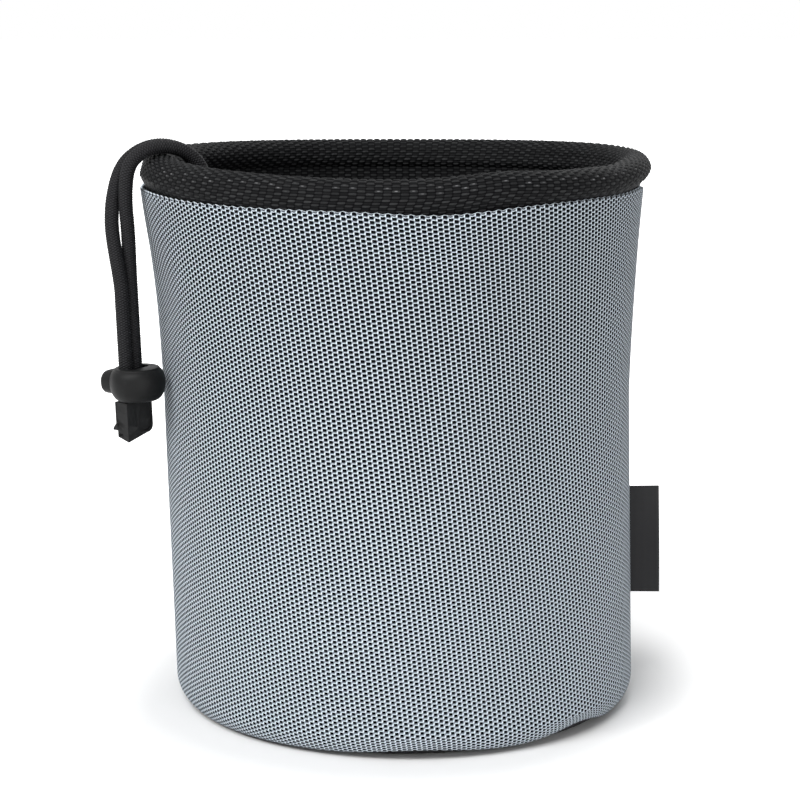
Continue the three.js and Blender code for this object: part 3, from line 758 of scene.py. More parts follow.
def turned(section, azimuth, out=0, up=0):
    """Grid of points from a section of (outwards, up) points, moved out and up, and turned about Z."""
    return around(section[:, :1] + out, azimuth, section[:, 1:] + up)


def cloth_counts(section, columns, count_around, pitch):
    """Yarn counts at the corners of a grid round the bag: count_around of them, and one each pitch."""
    lengths = run_lengths(np.concatenate([section, section[:1]]))
    turn = np.linspace(0, count_around, columns + 1)
    return np.stack(np.broadcast_arrays(turn[None, :], lengths[:, None] / pitch), -1).copy()


def wall_grid(section, azimuth):
    """Grid of the wall: its lower edge drawn back in places, swollen, lifted and leaned."""
    across = section[:, :1] - CORNER_RADIUS
    up = section[:, 1:] - BASE_CORNER
    below = np.minimum(up, 0)
    reach = np.hypot(across, below)
    tuck = np.arctan2(below, across) * (1 - bumps(azimuth, TUCK_GAPS))
    height = BASE_CORNER + np.maximum(up, 0) + reach * np.sin(tuck)
    radius = CORNER_RADIUS + reach * np.cos(tuck) + wall_swell(azimuth, height)
    radius = radius - bumps(azimuth, SIDE_SEAM)
    drop = bumps(azimuth, EDGE_DROPS) * smoothstep(EDGE_FROM, WALL_TOP, height)
    return leaned(around(radius, azimuth, height + rim_lift(azimuth, height) - drop))


def outer_wall():
    """Wall cloth: tucked under at the bottom, and folded over at the mouth."""
    azimuth = azimuths(2 * WARP_COUNT)
    corner = (CORNER_RADIUS, BASE_CORNER)
    outside = BASE_CORNER + FIT + WALL_THICKNESS
    heights = np.linspace(BASE_CORNER, WALL_TOP, WALL_ROWS)[1:]
    upright = np.stack([wall_radius(heights), heights], -1)
    fold = WALL_THICKNESS / 2
    top = (wall_radius(WALL_TOP) - fold, WALL_TOP)
    inner = upright[::-6] - [WALL_THICKNESS, 0]
    section = np.concatenate([
        arc(corner, outside, -WALL_TUCK_DEG, 0, 10),
        upright[:-1],
        arc(top, fold, 0, 180, 7),
        inner[1:],
        arc(corner, outside - WALL_THICKNESS, 0, -WALL_TUCK_DEG, 6),
    ])
    points = wall_grid(section, azimuth)
    lean = WARP_LEAN / (2 * math.pi * BODY_RADIUS / WARP_COUNT)
    loops = EDGE_LOOP * np.cos(WARP_COUNT / 2 * azimuth + math.pi * lean * WALL_TOP)
    points[..., 2] += loops * smoothstep(WALL_TOP - EDGE_LOOP_DEPTH, WALL_TOP, section[:, 1:])
    cloth = cloth_counts(section, len(azimuth), WARP_COUNT, WEFT_PITCH)
    cloth[..., 1] += EDGE_COUNT - cloth[section[:, 1].argmax(), 0, 1]
    turn = np.append(azimuth, 2 * math.pi)
    height = np.append(section[:, 1], section[0, 1])[:, None]
    cloth[..., 0] += lean * height
    askew = WEFT_RISE * BODY_RADIUS * np.cos(turn) + SEAM_STEP * turn / (2 * math.pi)
    askew = askew + mounds(turn, height, WEFT_DRIFTS)
    cloth[..., 1] -= askew * smoothstep(WALL_TOP, STRAIGHT_FROM, height) / WEFT_PITCH
    piece = grid_piece("wall_cloth", points, closed=True, cloth=cloth)
    finish_piece(piece, woven_wall_look(), "woven_wall", "outer_wall")


def round_panel(name, outside, thickness, top, counts, pitch):
    """Round cloth panel with an upright edge, from its corner's outer radius and the counts of
    points on the outer corner, the edge's top and the inner corner."""
    corner = (CORNER_RADIUS, BASE_CORNER)
    floor = BASE_CORNER - outside
    edge = CORNER_RADIUS + outside
    outer_count, top_count, inner_count = counts
    section = np.concatenate([
        straight((PANEL_DISC, floor), (CORNER_RADIUS, floor), 24)[:-1],
        arc(corner, outside, -90, 0, outer_count),
        straight((edge, top), (edge - thickness, top), top_count),
        arc(corner, outside - thickness, 0, -90, inner_count),
        straight((CORNER_RADIUS, floor + thickness), (PANEL_DISC, floor + thickness), 24)[1:],
    ])
    points = leaned(turned(section, azimuths(SMOOTH_COLUMNS)))
    flat = points[..., :2]
    cloth = np.concatenate([flat, flat[:, :1]], 1) / pitch
    return grid_piece(name, points, capped=True, cloth=cloth)


def base_panel():
    sizes = (BASE_CORNER, BASE_THICKNESS, BASE_FLANGE_TOP)
    piece = round_panel("base_cloth", *sizes, (14, 3, 10), BASE_PITCH)
    finish_piece(piece, base_cloth_look(), "base_cloth", "base_panel")


def lining():
    look = nylon_look("lining_nylon", (0.020, 0.020, 0.023), 0.5)
    sizes = (BASE_CORNER - BASE_THICKNESS - FIT, LINING_THICKNESS, LINING_BASE_TOP)
    piece = round_panel("lining_base_cloth", *sizes, (8, 2, 8), NYLON_PITCH)
    finish_piece(piece, look, "lining_nylon", "lining_base")

    azimuth = azimuths(SMOOTH_COLUMNS)
    heights = np.linspace(LINING_BASE_TOP + FIT, SEWN_TOP, LINING_ROWS)
    foot = FLANGE_RADIUS - BASE_THICKNESS - FIT
    full = BODY_RADIUS - LINING_STAND_OFF
    top = OUTER_LEG - WEBBING_THICKNESS - FIT
    radius = foot + (full - foot) * smoothstep(BASE_FLANGE_TOP, 2 * BASE_FLANGE_TOP, heights)
    rise = np.clip((heights - FLARE_START) / (LEG_BOTTOM - FLARE_START), 0, 1) ** FLARE_POWER
    radius = radius + (top - radius) * rise
    outside = np.stack([radius, heights], -1)
    section = np.concatenate([outside, outside[::-1] - [LINING_THICKNESS, 0]])
    height = section[:, 1:]
    swell = np.clip(wall_swell(azimuth, height), *LINING_SWELL)
    points = turned(section, azimuth, swell, rim_lift(azimuth, height))
    points = leaned(points, sewn_share(height))
    cloth = cloth_counts(section, len(azimuth), NYLON_YARNS, NYLON_PITCH)
    piece = grid_piece("lining_wall_cloth", points, closed=True, cloth=cloth)
    finish_piece(piece, look, "lining_nylon", "lining_wall")


def leg_angle(radius, face):
    """Angle from the roll's centre at which a leg's face meets a circle of the roll."""
    return math.degrees(math.asin((face - ROLL_RADIUS) / radius)) - 90


def float_height(along, across):
    """Height, from 0 to 1, of oval yarn floats in a checker pattern, with low gaps between."""
    u = along % 1 - 0.5
    v = across % 1 - 0.5
    raised = np.sqrt(np.clip(1 - 4 * u * u, 0, 1) * np.clip(1 - 4 * v * v, 0, 1))
    under = (np.floor(along) + np.floor(across)) % 2
    return raised * (1 - GAP_DIP * under)


def rim_section():
    """Section of the webbing's legs and roll, and the share of height of the floats along it."""
    centre = (ROLL_RADIUS, ROLL_HEIGHT)
    inner_face = INNER_LEG - WEBBING_THICKNESS
    outer_back = OUTER_LEG - WEBBING_THICKNESS
    end = leg_angle(ROLL_OUTER, inner_face) + 360
    roll_length = math.radians(end - ROLL_START_DEG) * ROLL_OUTER
    roll_rows = int(round(roll_length / RIM_FLOAT_PITCH)) * FLOAT_ROWS
    roll = arc(centre, ROLL_OUTER, ROLL_START_DEG, end, roll_rows + 1)
    behind = (OUTER_LEG + FIT, WALL_TOP - 1)
    inner = straight(roll[-1], (inner_face, LEG_BOTTOM), 16)[1:]
    bore_ends = (leg_angle(ROLL_BORE, INNER_LEG) + 360, leg_angle(ROLL_BORE, outer_back))
    bore = arc(centre, ROLL_BORE, *bore_ends, 24)
    runs = (
        (straight((OUTER_LEG, LEG_BOTTOM), behind, 3)[:-1], 0),
        (straight(behind, roll[0], 4)[:-1], LEG_FLOATS),
        (roll, 1),
        (inner[:-2], LEG_FLOATS),
        (inner[-2:], 0),
        (straight((INNER_LEG, LEG_BOTTOM), bore[0], 4)[:-1], 0),
        (bore, 0),
        (straight(bore[-1], (outer_back, LEG_BOTTOM), 4)[1:], 0),
    )
    shown = [np.full(len(run), share) for run, share in runs]
    return np.concatenate([run for run, share in runs]), np.concatenate(shown)


def rim_webbing():
    """Webbing rolled over the hoop, with its floats raised."""
    azimuth = azimuths(FLOAT_COLUMNS * RIM_FLOATS)
    section, shown = rim_section()
    lengths = run_lengths(section)
    roll_start = lengths[shown.argmax()]
    across = (lengths - roll_start) / RIM_FLOAT_PITCH
    raised = float_height(RIM_FLOATS * azimuth[None, :] / (2 * math.pi), across[:, None])
    outwards = np.gradient(section, axis=0)
    outwards = units(np.stack([outwards[:, 1], -outwards[:, 0]], -1))
    step = (raised - 0.5) * RIM_FLOAT_HEIGHT * shown[:, None]
    rise = outwards[:, 1:] * step + roll_lift(azimuth)
    points = turned(section, azimuth, outwards[:, :1] * step, rise)
    points = leaned(points, sewn_share(section[:, 1:]))
    cloth = cloth_counts(section, len(azimuth), RIM_FLOATS, RIM_FLOAT_PITCH)
    cloth[..., 1] -= roll_start / RIM_FLOAT_PITCH
    piece = grid_piece("rim_webbing", points, closed=True, cloth=cloth)
    finish_piece(piece, webbing_look(), "rim_webbing", "rim_binding")


def rim_hoop():
    azimuth = azimuths(HOOP_COLUMNS)
    section = arc((ROLL_RADIUS, ROLL_HEIGHT), HOOP_RADIUS, 0, 360, 25)[:-1]
    points = turned(section, azimuth, up=roll_lift(azimuth))
    piece = grid_piece("rim_hoop_rod", points, closed=True)
    look = moulded_look("hoop_plastic", (0.03, 0.03, 0.03), 0.5, 0.12)
    finish_piece(piece, look, "hoop_plastic", "rim_hoop")


def collar_radius(azimuth, height):
    """Middle radius of the collar's cloth. The folds die away where the cord comes out."""
    away = turn_from(azimuth, TAIL_AZIMUTH)
    distance = np.abs(away) * HEM_RADIUS
    folded = smoothstep(SMOOTH_HALF, SMOOTH_HALF + FOLD_FADE, distance)
    fold = FOLD_DEPTH * folded * (np.cos(FOLD_COUNT * away) - FOLD_SHIFT)
    opened = 1 - smoothstep(HEM_Z - HEM_HEIGHT, LEG_BOTTOM, height)
    at_hem = 1 - smoothstep(HEM_Z - HEM_HEIGHT, LEG_BOTTOM, HEM_Z)
    waves = sum(
        share * np.sin(count * away + 2 * np.sin(wobble * away))
        for count, share, wobble in GATHERS
    )
    gather = GATHER_DEPTH * folded * (waves - 1) / 2
    return COLLAR_TOP_RADIUS + opened * ((HEM_RADIUS - COLLAR_TOP_RADIUS) / at_hem + fold + gather)


def closure_collar():
    """Gathered nylon collar, hanging from the rim to the tunnel of its hem."""
    azimuth = azimuths(COLLAR_COLUMNS)
    half = COLLAR_THICKNESS / 2
    hem_straight = HEM_HEIGHT / 2 - HEM_HALF
    down = np.linspace(SEWN_TOP, HEM_TOP, COLLAR_ROWS)
    outer = np.stack([np.full(len(down), half), down], -1)
    hem = np.concatenate([
        arc((0, HEM_Z + hem_straight), HEM_HALF, 70, 0, 6),
        arc((0, HEM_Z - hem_straight), HEM_HALF, 0, -180, 14),
        arc((0, HEM_Z + hem_straight), HEM_HALF, 180, 110, 6),
    ])
    section = np.concatenate([outer, hem, outer[::-1] * [-1, 1]])
    up = section[:, 1:]
    in_hem = np.abs(up - HEM_Z) < HEM_HEIGHT / 2
    follow = np.where(in_hem, HEM_Z, np.clip(up, HEM_Z, None))
    points = turned(section, azimuth, collar_radius(azimuth, follow), rim_lift(azimuth, up))
    points = leaned(points, smoothstep(HEM_TOP, LEG_BOTTOM, up) * sewn_share(up))
    cloth = cloth_counts(section, len(azimuth), NYLON_YARNS, NYLON_PITCH)
    piece = grid_piece("collar_cloth", points, closed=True, cloth=cloth)
    look = nylon_look("collar_nylon", (0.030, 0.031, 0.035), 0.42)
    finish_piece(piece, look, "collar_nylon", "closure_collar")


def stitching():
    """Rows of stitches above the collar's hem and in the rim's inner leg."""
    thread = thread_look()
    azimuth = azimuths(HEM_STITCHES * STITCH_STEPS)
    seam = HEM_TOP + THREAD_RADIUS
    surface = collar_radius(azimuth, seam) - COLLAR_THICKNESS / 2
    points = stitch_row(azimuth, surface, seam, HEM_STITCHES)
    finish_piece(grid_piece("hem_stitching", points, closed=True), thread, "collar_nylon")

    azimuth = azimuths(RIM_STITCHES * STITCH_STEPS)
    height = RIM_STITCH_Z + roll_lift(azimuth)
    points = stitch_row(azimuth, INNER_LEG - WEBBING_THICKNESS, height, RIM_STITCHES)
    piece = grid_piece("rim_stitching", leaned(points), closed=True)
    finish_piece(piece, thread, "rim_webbing")


def stitch_row(azimuth, surface, height, count):
    """Grid of a thread that comes out of a round surface's inside at each stitch and dips back."""
    wave = np.clip(2 * np.cos(count * azimuth), -1, 1)
    side = azimuths(10)[:, None]
    radius = surface - STITCH_RISE * wave + THREAD_RADIUS * np.cos(side)
    return around(radius, azimuth, height + THREAD_RADIUS * np.sin(side))


def smooth_route(points):
    """Evenly spaced points on a smooth curve through the given ones, in mm."""
    points = np.array(points)
    knots = run_lengths(points)
    slopes = np.gradient(points, knots, axis=0)
    samples = np.linspace(0, knots[-1], ROUTE_SAMPLES)
    k = np.clip(np.searchsorted(knots, samples, side="right") - 1, 0, len(knots) - 2)
    span = (knots[k + 1] - knots[k])[:, None]
    t = (samples - knots[k])[:, None] / span
    start = (1 + 2 * t) * (1 - t) ** 2 * points[k] + t * (1 - t) ** 2 * span * slopes[k]
    end = t ** 2 * (3 - 2 * t) * points[k + 1] + t ** 2 * (t - 1) * span * slopes[k + 1]
    curve = start + end
    lengths = run_lengths(curve)
    even = np.linspace(0, lengths[-1], int(round(lengths[-1] / ROUTE_STEP)) + 1)
    return np.stack([np.interp(even, lengths, curve[:, axis]) for axis in range(3)], -1)


def tube(route, sides):
    """Directions out of a route, [point][side], that don't twist along it."""
    tangent = units(np.gradient(route, axis=0))
    aside = (0.3, 0.9, 0.2)
    out = np.cross(tangent[0], aside)
    normals = np.empty_like(route)
    for i, direction in enumerate(tangent):
        out = units(out - direction * np.dot(out, direction))
        normals[i] = out
    other = np.cross(tangent, normals)
    angle = azimuths(sides)[None, :, None]
    return normals[:, None] * np.cos(angle) + other[:, None] * np.sin(angle)


def braid_height(turn, length):
    """Height, from 0 to 1, of crossing strands by turn round the cord and length along it."""
    right = BRAID_STRANDS * turn + length / BRAID_PITCH
    left = BRAID_STRANDS * turn - length / BRAID_PITCH
    over = (np.floor(right) + np.floor(left)) % 2
    across = np.where(over == 0, right, left) % 1 - 0.5
    along = np.where(over == 0, left, right) % 1 - 0.5
    return np.sqrt(np.clip(1 - 4 * across * across, 0, 1)) * (0.55 + 0.45 * np.cos(math.pi * along))


def braided_cord(name, route, sides):
    """Braided cord along a route in mm."""
    directions = tube(route, sides)
    turn = np.arange(sides)[None, :] / sides
    length = run_lengths(route)[:, None]
    radius = CORD_RADIUS + BRAID_HEIGHT * (braid_height(turn, length) - BRAID_MIDDLE)
    points = route[:, None] + directions * radius[..., None]
    turns = np.linspace(0, BRAID_STRANDS, sides + 1)
    lengths = np.append(length, length[-1] * 2 - length[-2]) / BRAID_PITCH
    cloth = np.stack(np.meshgrid(lengths, turns, indexing="ij")[::-1], -1)
    return grid_piece(name, points, capped=True, cloth=cloth)


ROLL_FRAME = Matrix.Rotation(TAIL_AZIMUTH, 4, "Z") @ Matrix.Translation((ROLL_RADIUS, 0, ROLL_HEIGHT))
HANG_FRAME = (
    ROLL_FRAME
    @ Matrix.Translation((TAIL_OFFSET, 0, -LOCK_DROP))
    @ Matrix.Rotation(TAIL_TILT, 4, "Y")
    @ Matrix.Rotation(LOCK_YAW, 4, "Z")
)
LOCK_FRAME = HANG_FRAME @ Matrix.Translation((CORD_SETBACK, 0, 0))


def placed(points, matrix):
    """Points in mm moved by a matrix."""
    turn = np.array(matrix.to_3x3())
    return np.asarray(points) @ turn.T + np.array(matrix.translation)


def drawcord(cord_end):
    """Drawcord: its loop in the hem's tunnel, two eyelets, and the two tails."""
    look = braid_look()
    gap = (EYELET_SPACING / 2 + CORD_DIAMETER + FIT) / HEM_RADIUS
    azimuth = TAIL_AZIMUTH + np.linspace(gap, 2 * math.pi - gap, LOOP_POINTS)
    route = around(collar_radius(azimuth, HEM_Z), azimuth, HEM_Z)
    piece = braided_cord("drawcord_in_hem", route, LOOP_SIDES)
    finish_piece(piece, look, "braided_cord", "drawcord_loop")

    enamel = metal_look("eyelet_enamel", (0.02, 0.02, 0.021), 0.35, 0.6)
    tails = (("front", 1, TAIL_FRONT_DOWN), ("back", -1, TAIL_BACK_DOWN))
    for side, sign, down in tails:
        eyelet(side, sign, enamel)
        over = [(x, sign * y, z) for x, y, z in TAIL_OVER]
        route = smooth_route(placed([*over, *down], ROLL_FRAME))
        piece = braided_cord("braided_tail_" + side, route, CORD_SIDES)
        finish_piece(piece, look, "braided_cord", "cord_tail_" + side)


def eyelet(side, sign, look):
    azimuth = TAIL_AZIMUTH + sign * EYELET_SPACING / 2 / HEM_RADIUS
    half = EYELET_FLANGE_THICKNESS / 2
    barrel_end = -HEM_HALF / 2
    section = np.concatenate([
        straight((EYELET_BARREL, barrel_end), (EYELET_BARREL, FIT), 3),
        arc((EYELET_FLANGE - half, FIT + half), half, -90, 90, 9),
        arc((EYELET_BORE + half, FIT + half), half, 90, 180, 7),
        [(EYELET_BORE, barrel_end)],
    ])
    radius = collar_radius(np.array(azimuth), HEM_Z) - HEM_HALF
    turn = Matrix.Rotation(azimuth, 4, "Z") @ Matrix.Translation((float(radius), 0, HEM_Z))
    points = placed(turned(section, azimuths(48)), turn @ Matrix.Rotation(-math.pi / 2, 4, "Y"))
    piece = grid_piece("hem_eyelet_" + side, points, closed=True)
    finish_piece(piece, look, "eyelet_metal", "cord_eyelet_" + side)


def settle(piece):
    """Applies a piece's modifiers to its mesh."""
    bpy.context.view_layer.update()
    evaluated = piece.evaluated_get(bpy.context.evaluated_depsgraph_get())
    mesh = bpy.data.meshes.new_from_object(evaluated)
    piece.modifiers.clear()
    piece.data = mesh


def carve(piece, cutters, bevel, added=()):
    """Cuts meshes out of a piece, joins others to it, and rounds its edges."""
    for operation, others in (("DIFFERENCE", cutters), ("UNION", added)):
        for other in others:
            change = piece.modifiers.new("shape", "BOOLEAN")
            change.operation = operation
            change.object = other
            change.solver = "EXACT"
    settle(piece)
    for other in (*cutters, *added):
        bpy.data.objects.remove(other)
    edges = piece.modifiers.new("edges", "BEVEL")
    edges.width = bevel * MM
    edges.segments = BEVEL_STEPS
    edges.limit_method = "ANGLE"
    edges.angle_limit = math.radians(SHARP_DEG)
    edges.harden_normals = True
    settle(piece)
    piece.data.shade_smooth()
    piece.data.set_sharp_from_angle(angle=math.radians(SHARP_DEG))
    layer = piece.data.uv_layers.get("OFBake")
    if layer:
        piece.data.uv_layers.remove(layer)


def rounded_rect(width, height, radius, centre=(0, 0)):
    """Corner points of a rectangle with round corners, anticlockwise."""
    w = width / 2 - radius
    h = height / 2 - radius
    x, y = centre
    corners = ((w, -h, -90), (w, h, 0), (-w, h, 90), (-w, -h, 180))
    arcs = [arc((x + a, y + b), radius, start, start + 90, 9) for a, b, start in corners]
    return np.concatenate(arcs)


def loft(name, rings, matrix):
    """Capped piece over rings of points in mm, moved by a matrix."""
    return grid_piece(name, placed(rings, matrix), capped=True)


def level(outline, height):
    """An outline of (x, y) at one height."""
    return np.column_stack([outline, np.full(len(outline), height)])


def sideways(outline, x):
    """An outline of (y, z) at one place along X."""
    return np.column_stack([np.full(len(outline), x), outline])


def prism(name, outline, stand, ends, matrix):
    """Capped piece between two ends of an outline that stands level or sideways."""
    return loft(name, [stand(outline, end) for end in ends], matrix)


def bezier(start, first, second, end, count):
    t = np.linspace(0, 1, count)[:, None]
    points = [np.array(point, float) for point in (start, first, second, end)]
    weights = ((1 - t) ** 3, 3 * t * (1 - t) ** 2, 3 * t * t * (1 - t), t ** 3)
    return sum(weight * point for weight, point in zip(weights, points))


def lock_barrel(look):
    """Bowl-shaped barrel with a round mouth over the cords' slot and a pocket for the button."""
    bowl = (LOCK_FOOT + LOCK_RADIUS) / 2
    neck = (LOCK_MOUTH + LOCK_RADIUS) / 2
    lip_base = LOCK_RISE - LOCK_LIP
    widest = (LOCK_RADIUS, 0)
    mouth = (LOCK_MOUTH, lip_base)
    section = np.concatenate([
        bezier((LOCK_FOOT, -LOCK_FALL), (bowl, -LOCK_FALL), (LOCK_RADIUS, -LOCK_FALL / 2), widest, 20),
        bezier(widest, (LOCK_RADIUS, LOCK_RISE / 2), (neck, lip_base - LOCK_LIP), mouth, 16)[1:],
        arc((LOCK_MOUTH - LOCK_LIP, lip_base), LOCK_LIP, 0, 90, 8)[1:],
    ])
    barrel = loft("lock_barrel_shell", turned(section, azimuths(96)), LOCK_FRAME)
    middle = ((HOLE_FRONT + HOLE_BACK) / 2, 0)
    slot = rounded_rect(HOLE_BACK - HOLE_FRONT, 2 * CORD_SLOT_HALF, CORD_RADIUS + FIT, middle)
    edge = arc((LOCK_BORE + LOCK_FUNNEL, LOCK_RISE - LOCK_FUNNEL), LOCK_FUNNEL, 180, 105, 6)
    brim = (LOCK_BORE + 2 * LOCK_FUNNEL, LOCK_RISE + LOCK_FUNNEL)
    mouth = np.concatenate([[(LOCK_BORE, PLUNGER_HEIGHT / 2)], edge, [brim]])
    pocket_size = (PLUNGER_WIDTH + 2 * FIT, PLUNGER_HEIGHT + 2 * FIT)
    pocket = rounded_rect(*pocket_size, PLUNGER_ROUND + FIT)
    seat = arc((0, 0), SPRING_DIAMETER / 2 + FIT, 0, 360, 33)[:-1]
    seat_end = SPRING_START + SPRING_LENGTH + FIT
    cutters = [
        prism("cord_slot", slot, level, (-2 * LOCK_FALL, 2 * LOCK_RISE), LOCK_FRAME),
        loft("round_mouth", turned(mouth, azimuths(64)), LOCK_FRAME),
        prism("button_pocket", pocket, sideways, (-2 * LOCK_RADIUS, POCKET_END), LOCK_FRAME),
        prism("spring_seat", seat, sideways, (0, seat_end), LOCK_FRAME),
    ]
    carve(barrel, cutters, bevel=0.15)
    finish_piece(barrel, look, "lock_plastic", "lock_barrel", body="lock")


def lock_plunger(look):
    """Button with a crowned end and a slot that the cords pass through."""
    face = -LOCK_RADIUS - PLUNGER_STANDOUT
    rings = []
    for turn in np.linspace(0, math.pi / 2, 8):
        inset = PLUNGER_CROWN * (1 - math.sin(turn))
        size = (PLUNGER_WIDTH - 2 * inset, PLUNGER_HEIGHT - 2 * inset)
        outline = rounded_rect(*size, PLUNGER_ROUND - inset)
        rings.append(sideways(outline, face + PLUNGER_CROWN * (1 - math.cos(turn))))
    rings.append(sideways(outline, SPRING_START))
    plunger = loft("lock_button", rings, LOCK_FRAME)
    middle = ((GRIP_X + SLOT_FRONT) / 2, 0)
    slot = rounded_rect(GRIP_X - SLOT_FRONT, 2 * CORD_SLOT_HALF, CORD_RADIUS, middle)
    cutter = prism("button_slot", slot, level, (-PLUNGER_HEIGHT, PLUNGER_HEIGHT), LOCK_FRAME)
    carve(plunger, [cutter], bevel=0.12)
    finish_piece(plunger, look, "lock_plastic", "lock_plunger", body="button")


def lock_spring():
    length = SPRING_LENGTH - FIT - SPRING_WIRE
    turn = np.linspace(0, 2 * math.pi * SPRING_TURNS, SPRING_TURNS * 40 + 1)
    coil = (SPRING_DIAMETER - SPRING_WIRE) / 2
    start = SPRING_START + FIT + SPRING_WIRE / 2
    route = np.stack([start + length * turn / turn[-1], coil * np.cos(turn), coil * np.sin(turn)], -1)
    points = route[:, None] + tube(route, 12) * SPRING_WIRE / 2
    piece = loft("lock_spring_wire", points, LOCK_FRAME)
    look = metal_look("spring_steel", (0.55, 0.56, 0.58), 0.35, 1.0)
    finish_piece(piece, look, "spring_steel", "lock_spring", body="lock")
    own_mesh(piece)


def end_ring(x, foot, slant):
    """Broad side of the cord end at a place along X: tapered, its foot rising to a round corner."""
    half = END_BACK_HALF + END_TAPER * (x - END_BACK) / (END_FACE - END_BACK)
    corner = foot + slant
    third = END_CORNER / 3
    start = (half - END_CORNER, corner)
    end = (half, corner + END_CORNER)
    outline = np.concatenate([
        straight((-half, END_TOP), (-half, foot), 8)[:-1],
        straight((-half, foot), start, 6)[:-1],
        bezier(start, (half - third, corner), (half, corner + third), end, 9),
        straight(end, (half, END_TOP), 5)[1:],
        straight((half, END_TOP), (-half, END_TOP), 6)[1:-1],
    ])
    return sideways(outline, x)


def cord_end(look):
    """Cord end: a tapered shell with a recessed face that grips the cords, and a snap cover."""
    back = end_ring(END_SPLIT, END_BOTTOM + END_RAKE, END_SLANT)
    rings = [back, end_ring(END_FACE, END_BOTTOM, END_SLANT)]
    shell = loft("cord_end_body", rings, HANG_FRAME)
    groove = rounded_rect(2 * (CORD_RADIUS + END_FIT), 2 * END_GROOVE_HALF, CORD_RADIUS)
    grip_end = END_TOP - END_GRIP - END_FIT
    recess_foot = END_BOTTOM + END_SLANT + END_WALL
    recess_height = END_TOP + END_HEIGHT - recess_foot
    recess_place = (END_FACE_HALF - END_WALL - END_RECESS / 2, recess_foot + recess_height / 2)
    recess = rounded_rect(END_RECESS, recess_height, END_CORNER, recess_place)
    recess_ends = (END_FACE - END_RECESS_DEPTH, END_FACE + END_WALL)
    cutters = [
        prism("cord_groove", groove, level, (grip_end, END_TOP + END_HEIGHT), HANG_FRAME),
        prism("face_recess", recess, sideways, recess_ends, HANG_FRAME),
    ]
    carve(shell, cutters, bevel=0.22)
    finish_piece(shell, look, "cord_end_plastic", "cord_end_shell")

    foot = END_BOTTOM + END_COVER_RISE
    rings = [end_ring(END_BACK, foot, 0), end_ring(END_BACK + END_COVER, foot, 0)]
    cover = loft("cord_end_snap_cover", rings, HANG_FRAME)
    rings = []
    for x, height in ((END_BACK - END_LIP, END_LIP_TIP), (END_BACK + END_COVER / 2, END_LIP_ROOT)):
        place = (-END_CORNER / 2, foot + height / 2)
        lip = rounded_rect(2 * END_BACK_HALF - END_CORNER, height, END_LIP_TIP / 3, place)
        rings.append(sideways(lip, x))
    carve(cover, [], bevel=0.15, added=[loft("snap_lip", rings, HANG_FRAME)])
    finish_piece(cover, look, "cord_end_plastic", "cord_end_cover")
    return [shell, cover]


def label():
    """Folded satin ribbon, bare, sewn into the side seam."""
    root = BODY_RADIUS + FIT
    thick = LABEL_THICKNESS / 2
    fold = root + LABEL_STANDOUT - thick
    sewn = BODY_RADIUS - SEAM_DEPTH
    section = np.concatenate([
        straight((sewn, -thick * LABEL_PINCH), (fold, -thick), 16)[:-1],
        arc((fold, 0), thick, -90, 90, 9),
        straight((fold, thick), (sewn, thick * LABEL_PINCH), 16)[1:],
    ])
    heights = np.linspace(LABEL_CENTRE - LABEL_HEIGHT / 2, LABEL_CENTRE + LABEL_HEIGHT / 2, 60)
    out, side = section.T
    sway = LABEL_SWAY * ((out - root) / LABEL_STANDOUT) ** 2
    side = side + sway * np.sin(heights / LABEL_WAVE)[:, None]
    points = np.stack(np.broadcast_arrays(out, side, heights[:, None]), -1)
    across = run_lengths(np.concatenate([section, section[:1]]))
    counts = np.stack(np.meshgrid(heights / RIBBON_PITCH, across / RIB_PITCH, indexing="ij"), -1)
    piece = grid_piece("label_ribbon", leaned(points), capped=True, cloth=counts)
    finish_piece(piece, ribbon_look(), "label_ribbon", "label_tab")


def camera():
    data = bpy.data.cameras.new("camera")
    data.sensor_width = SENSOR
    data.lens = SENSOR * FOCAL_PIXELS / FRAME_PIXELS
    holder = add_object("camera", data)
    holder.location = Vector(CAMERA_PLACE) * MM
    holder.rotation_euler = (math.radians(90 - CAMERA_PITCH_DEG), 0, 0)
    bpy.context.scene.camera = holder


def soft_light(name, place, width, power):
    data = bpy.data.lights.new(name, "AREA")
    data.shape = "SQUARE"
    data.size = width
    data.energy = power
    holder = add_object(name, data)
    holder.location = place
    aim = Vector(LIGHT_TARGET) - Vector(place)
    holder.rotation_euler = aim.to_track_quat("-Z", "Y").to_euler()


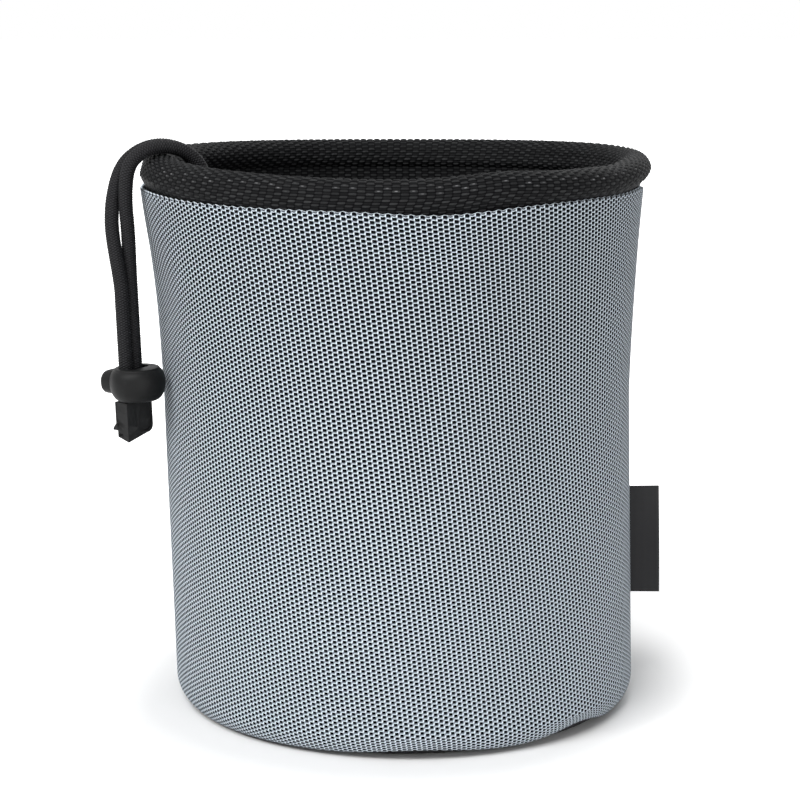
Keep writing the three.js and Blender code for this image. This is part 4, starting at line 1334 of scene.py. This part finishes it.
def seen_directly(tree):
    """1 for what the camera, gloss or glass sees, 0 for light that falls on other things."""
    kinds = ("Camera", "Glossy", "Transmission")
    sight, gloss, glass = (add_node(tree, "LightPath", {}, f"Is {kind} Ray") for kind in kinds)
    return sight.larger(gloss).larger(glass)


def studio():
    """White backdrop, pale floor that keeps the cast shadow and whose glow fades near the bag as
    painted shadow, and soft lights: from the front left, the left, low on the front right, and behind."""
    scene = bpy.context.scene
    scene.view_settings.view_transform = "Standard"
    world = bpy.data.worlds.new("studio")
    scene.world = world
    world.use_nodes = True
    tree = world.node_tree
    background = tree.nodes["Background"]
    background.inputs["Color"].default_value = (1, 1, 1, 1)
    strength = seen_directly(tree) * (1 - WORLD_LIGHT) + WORLD_LIGHT
    feed(tree, strength, background.inputs["Strength"])

    mesh = bpy.data.meshes.new("floor")
    corners = [(x * FLOOR_HALF, y * FLOOR_HALF) for x, y in ((-1, -1), (1, -1), (1, 1), (-1, 1))]
    mesh.from_pydata([(x, y, -FLOOR_DROP) for x, y in corners], [], [(0, 1, 2, 3)])
    floor = add_object("floor", mesh)
    look = Look("pale_floor", (0.9, 0.9, 0.9), 0.9, 0.0)
    look.set("Emission Color", (1, 1, 1, 1))
    away = look.distance()
    # Painted shadow: the glow that the camera sees fades to nothing near the bag
    near = away.ramp(SHADOW_END, SHADOW_CORE)
    far = away.ramp(SHADOW_END, FLOOR_FAR)
    glow = (1 - near * near) * NEAR_GLOW + far * FAR_GLOW
    look.set("Emission Strength", seen_directly(look.tree) * glow)
    mesh.materials.append(look.material)

    for light in LIGHTS:
        soft_light(*light)


camera()
studio()
lock_look = moulded_look("lock_plastic", (0.010, 0.0102, 0.0104), 0.46, 0.12)
end_look = moulded_look("cord_end_plastic", (0.026, 0.0262, 0.0266), 0.5, 0.05)
drawcord(cord_end(end_look))
outer_wall()
base_panel()
lining()
rim_webbing()
rim_hoop()
closure_collar()
stitching()
lock_barrel(lock_look)
lock_plunger(lock_look)
lock_spring()
label()
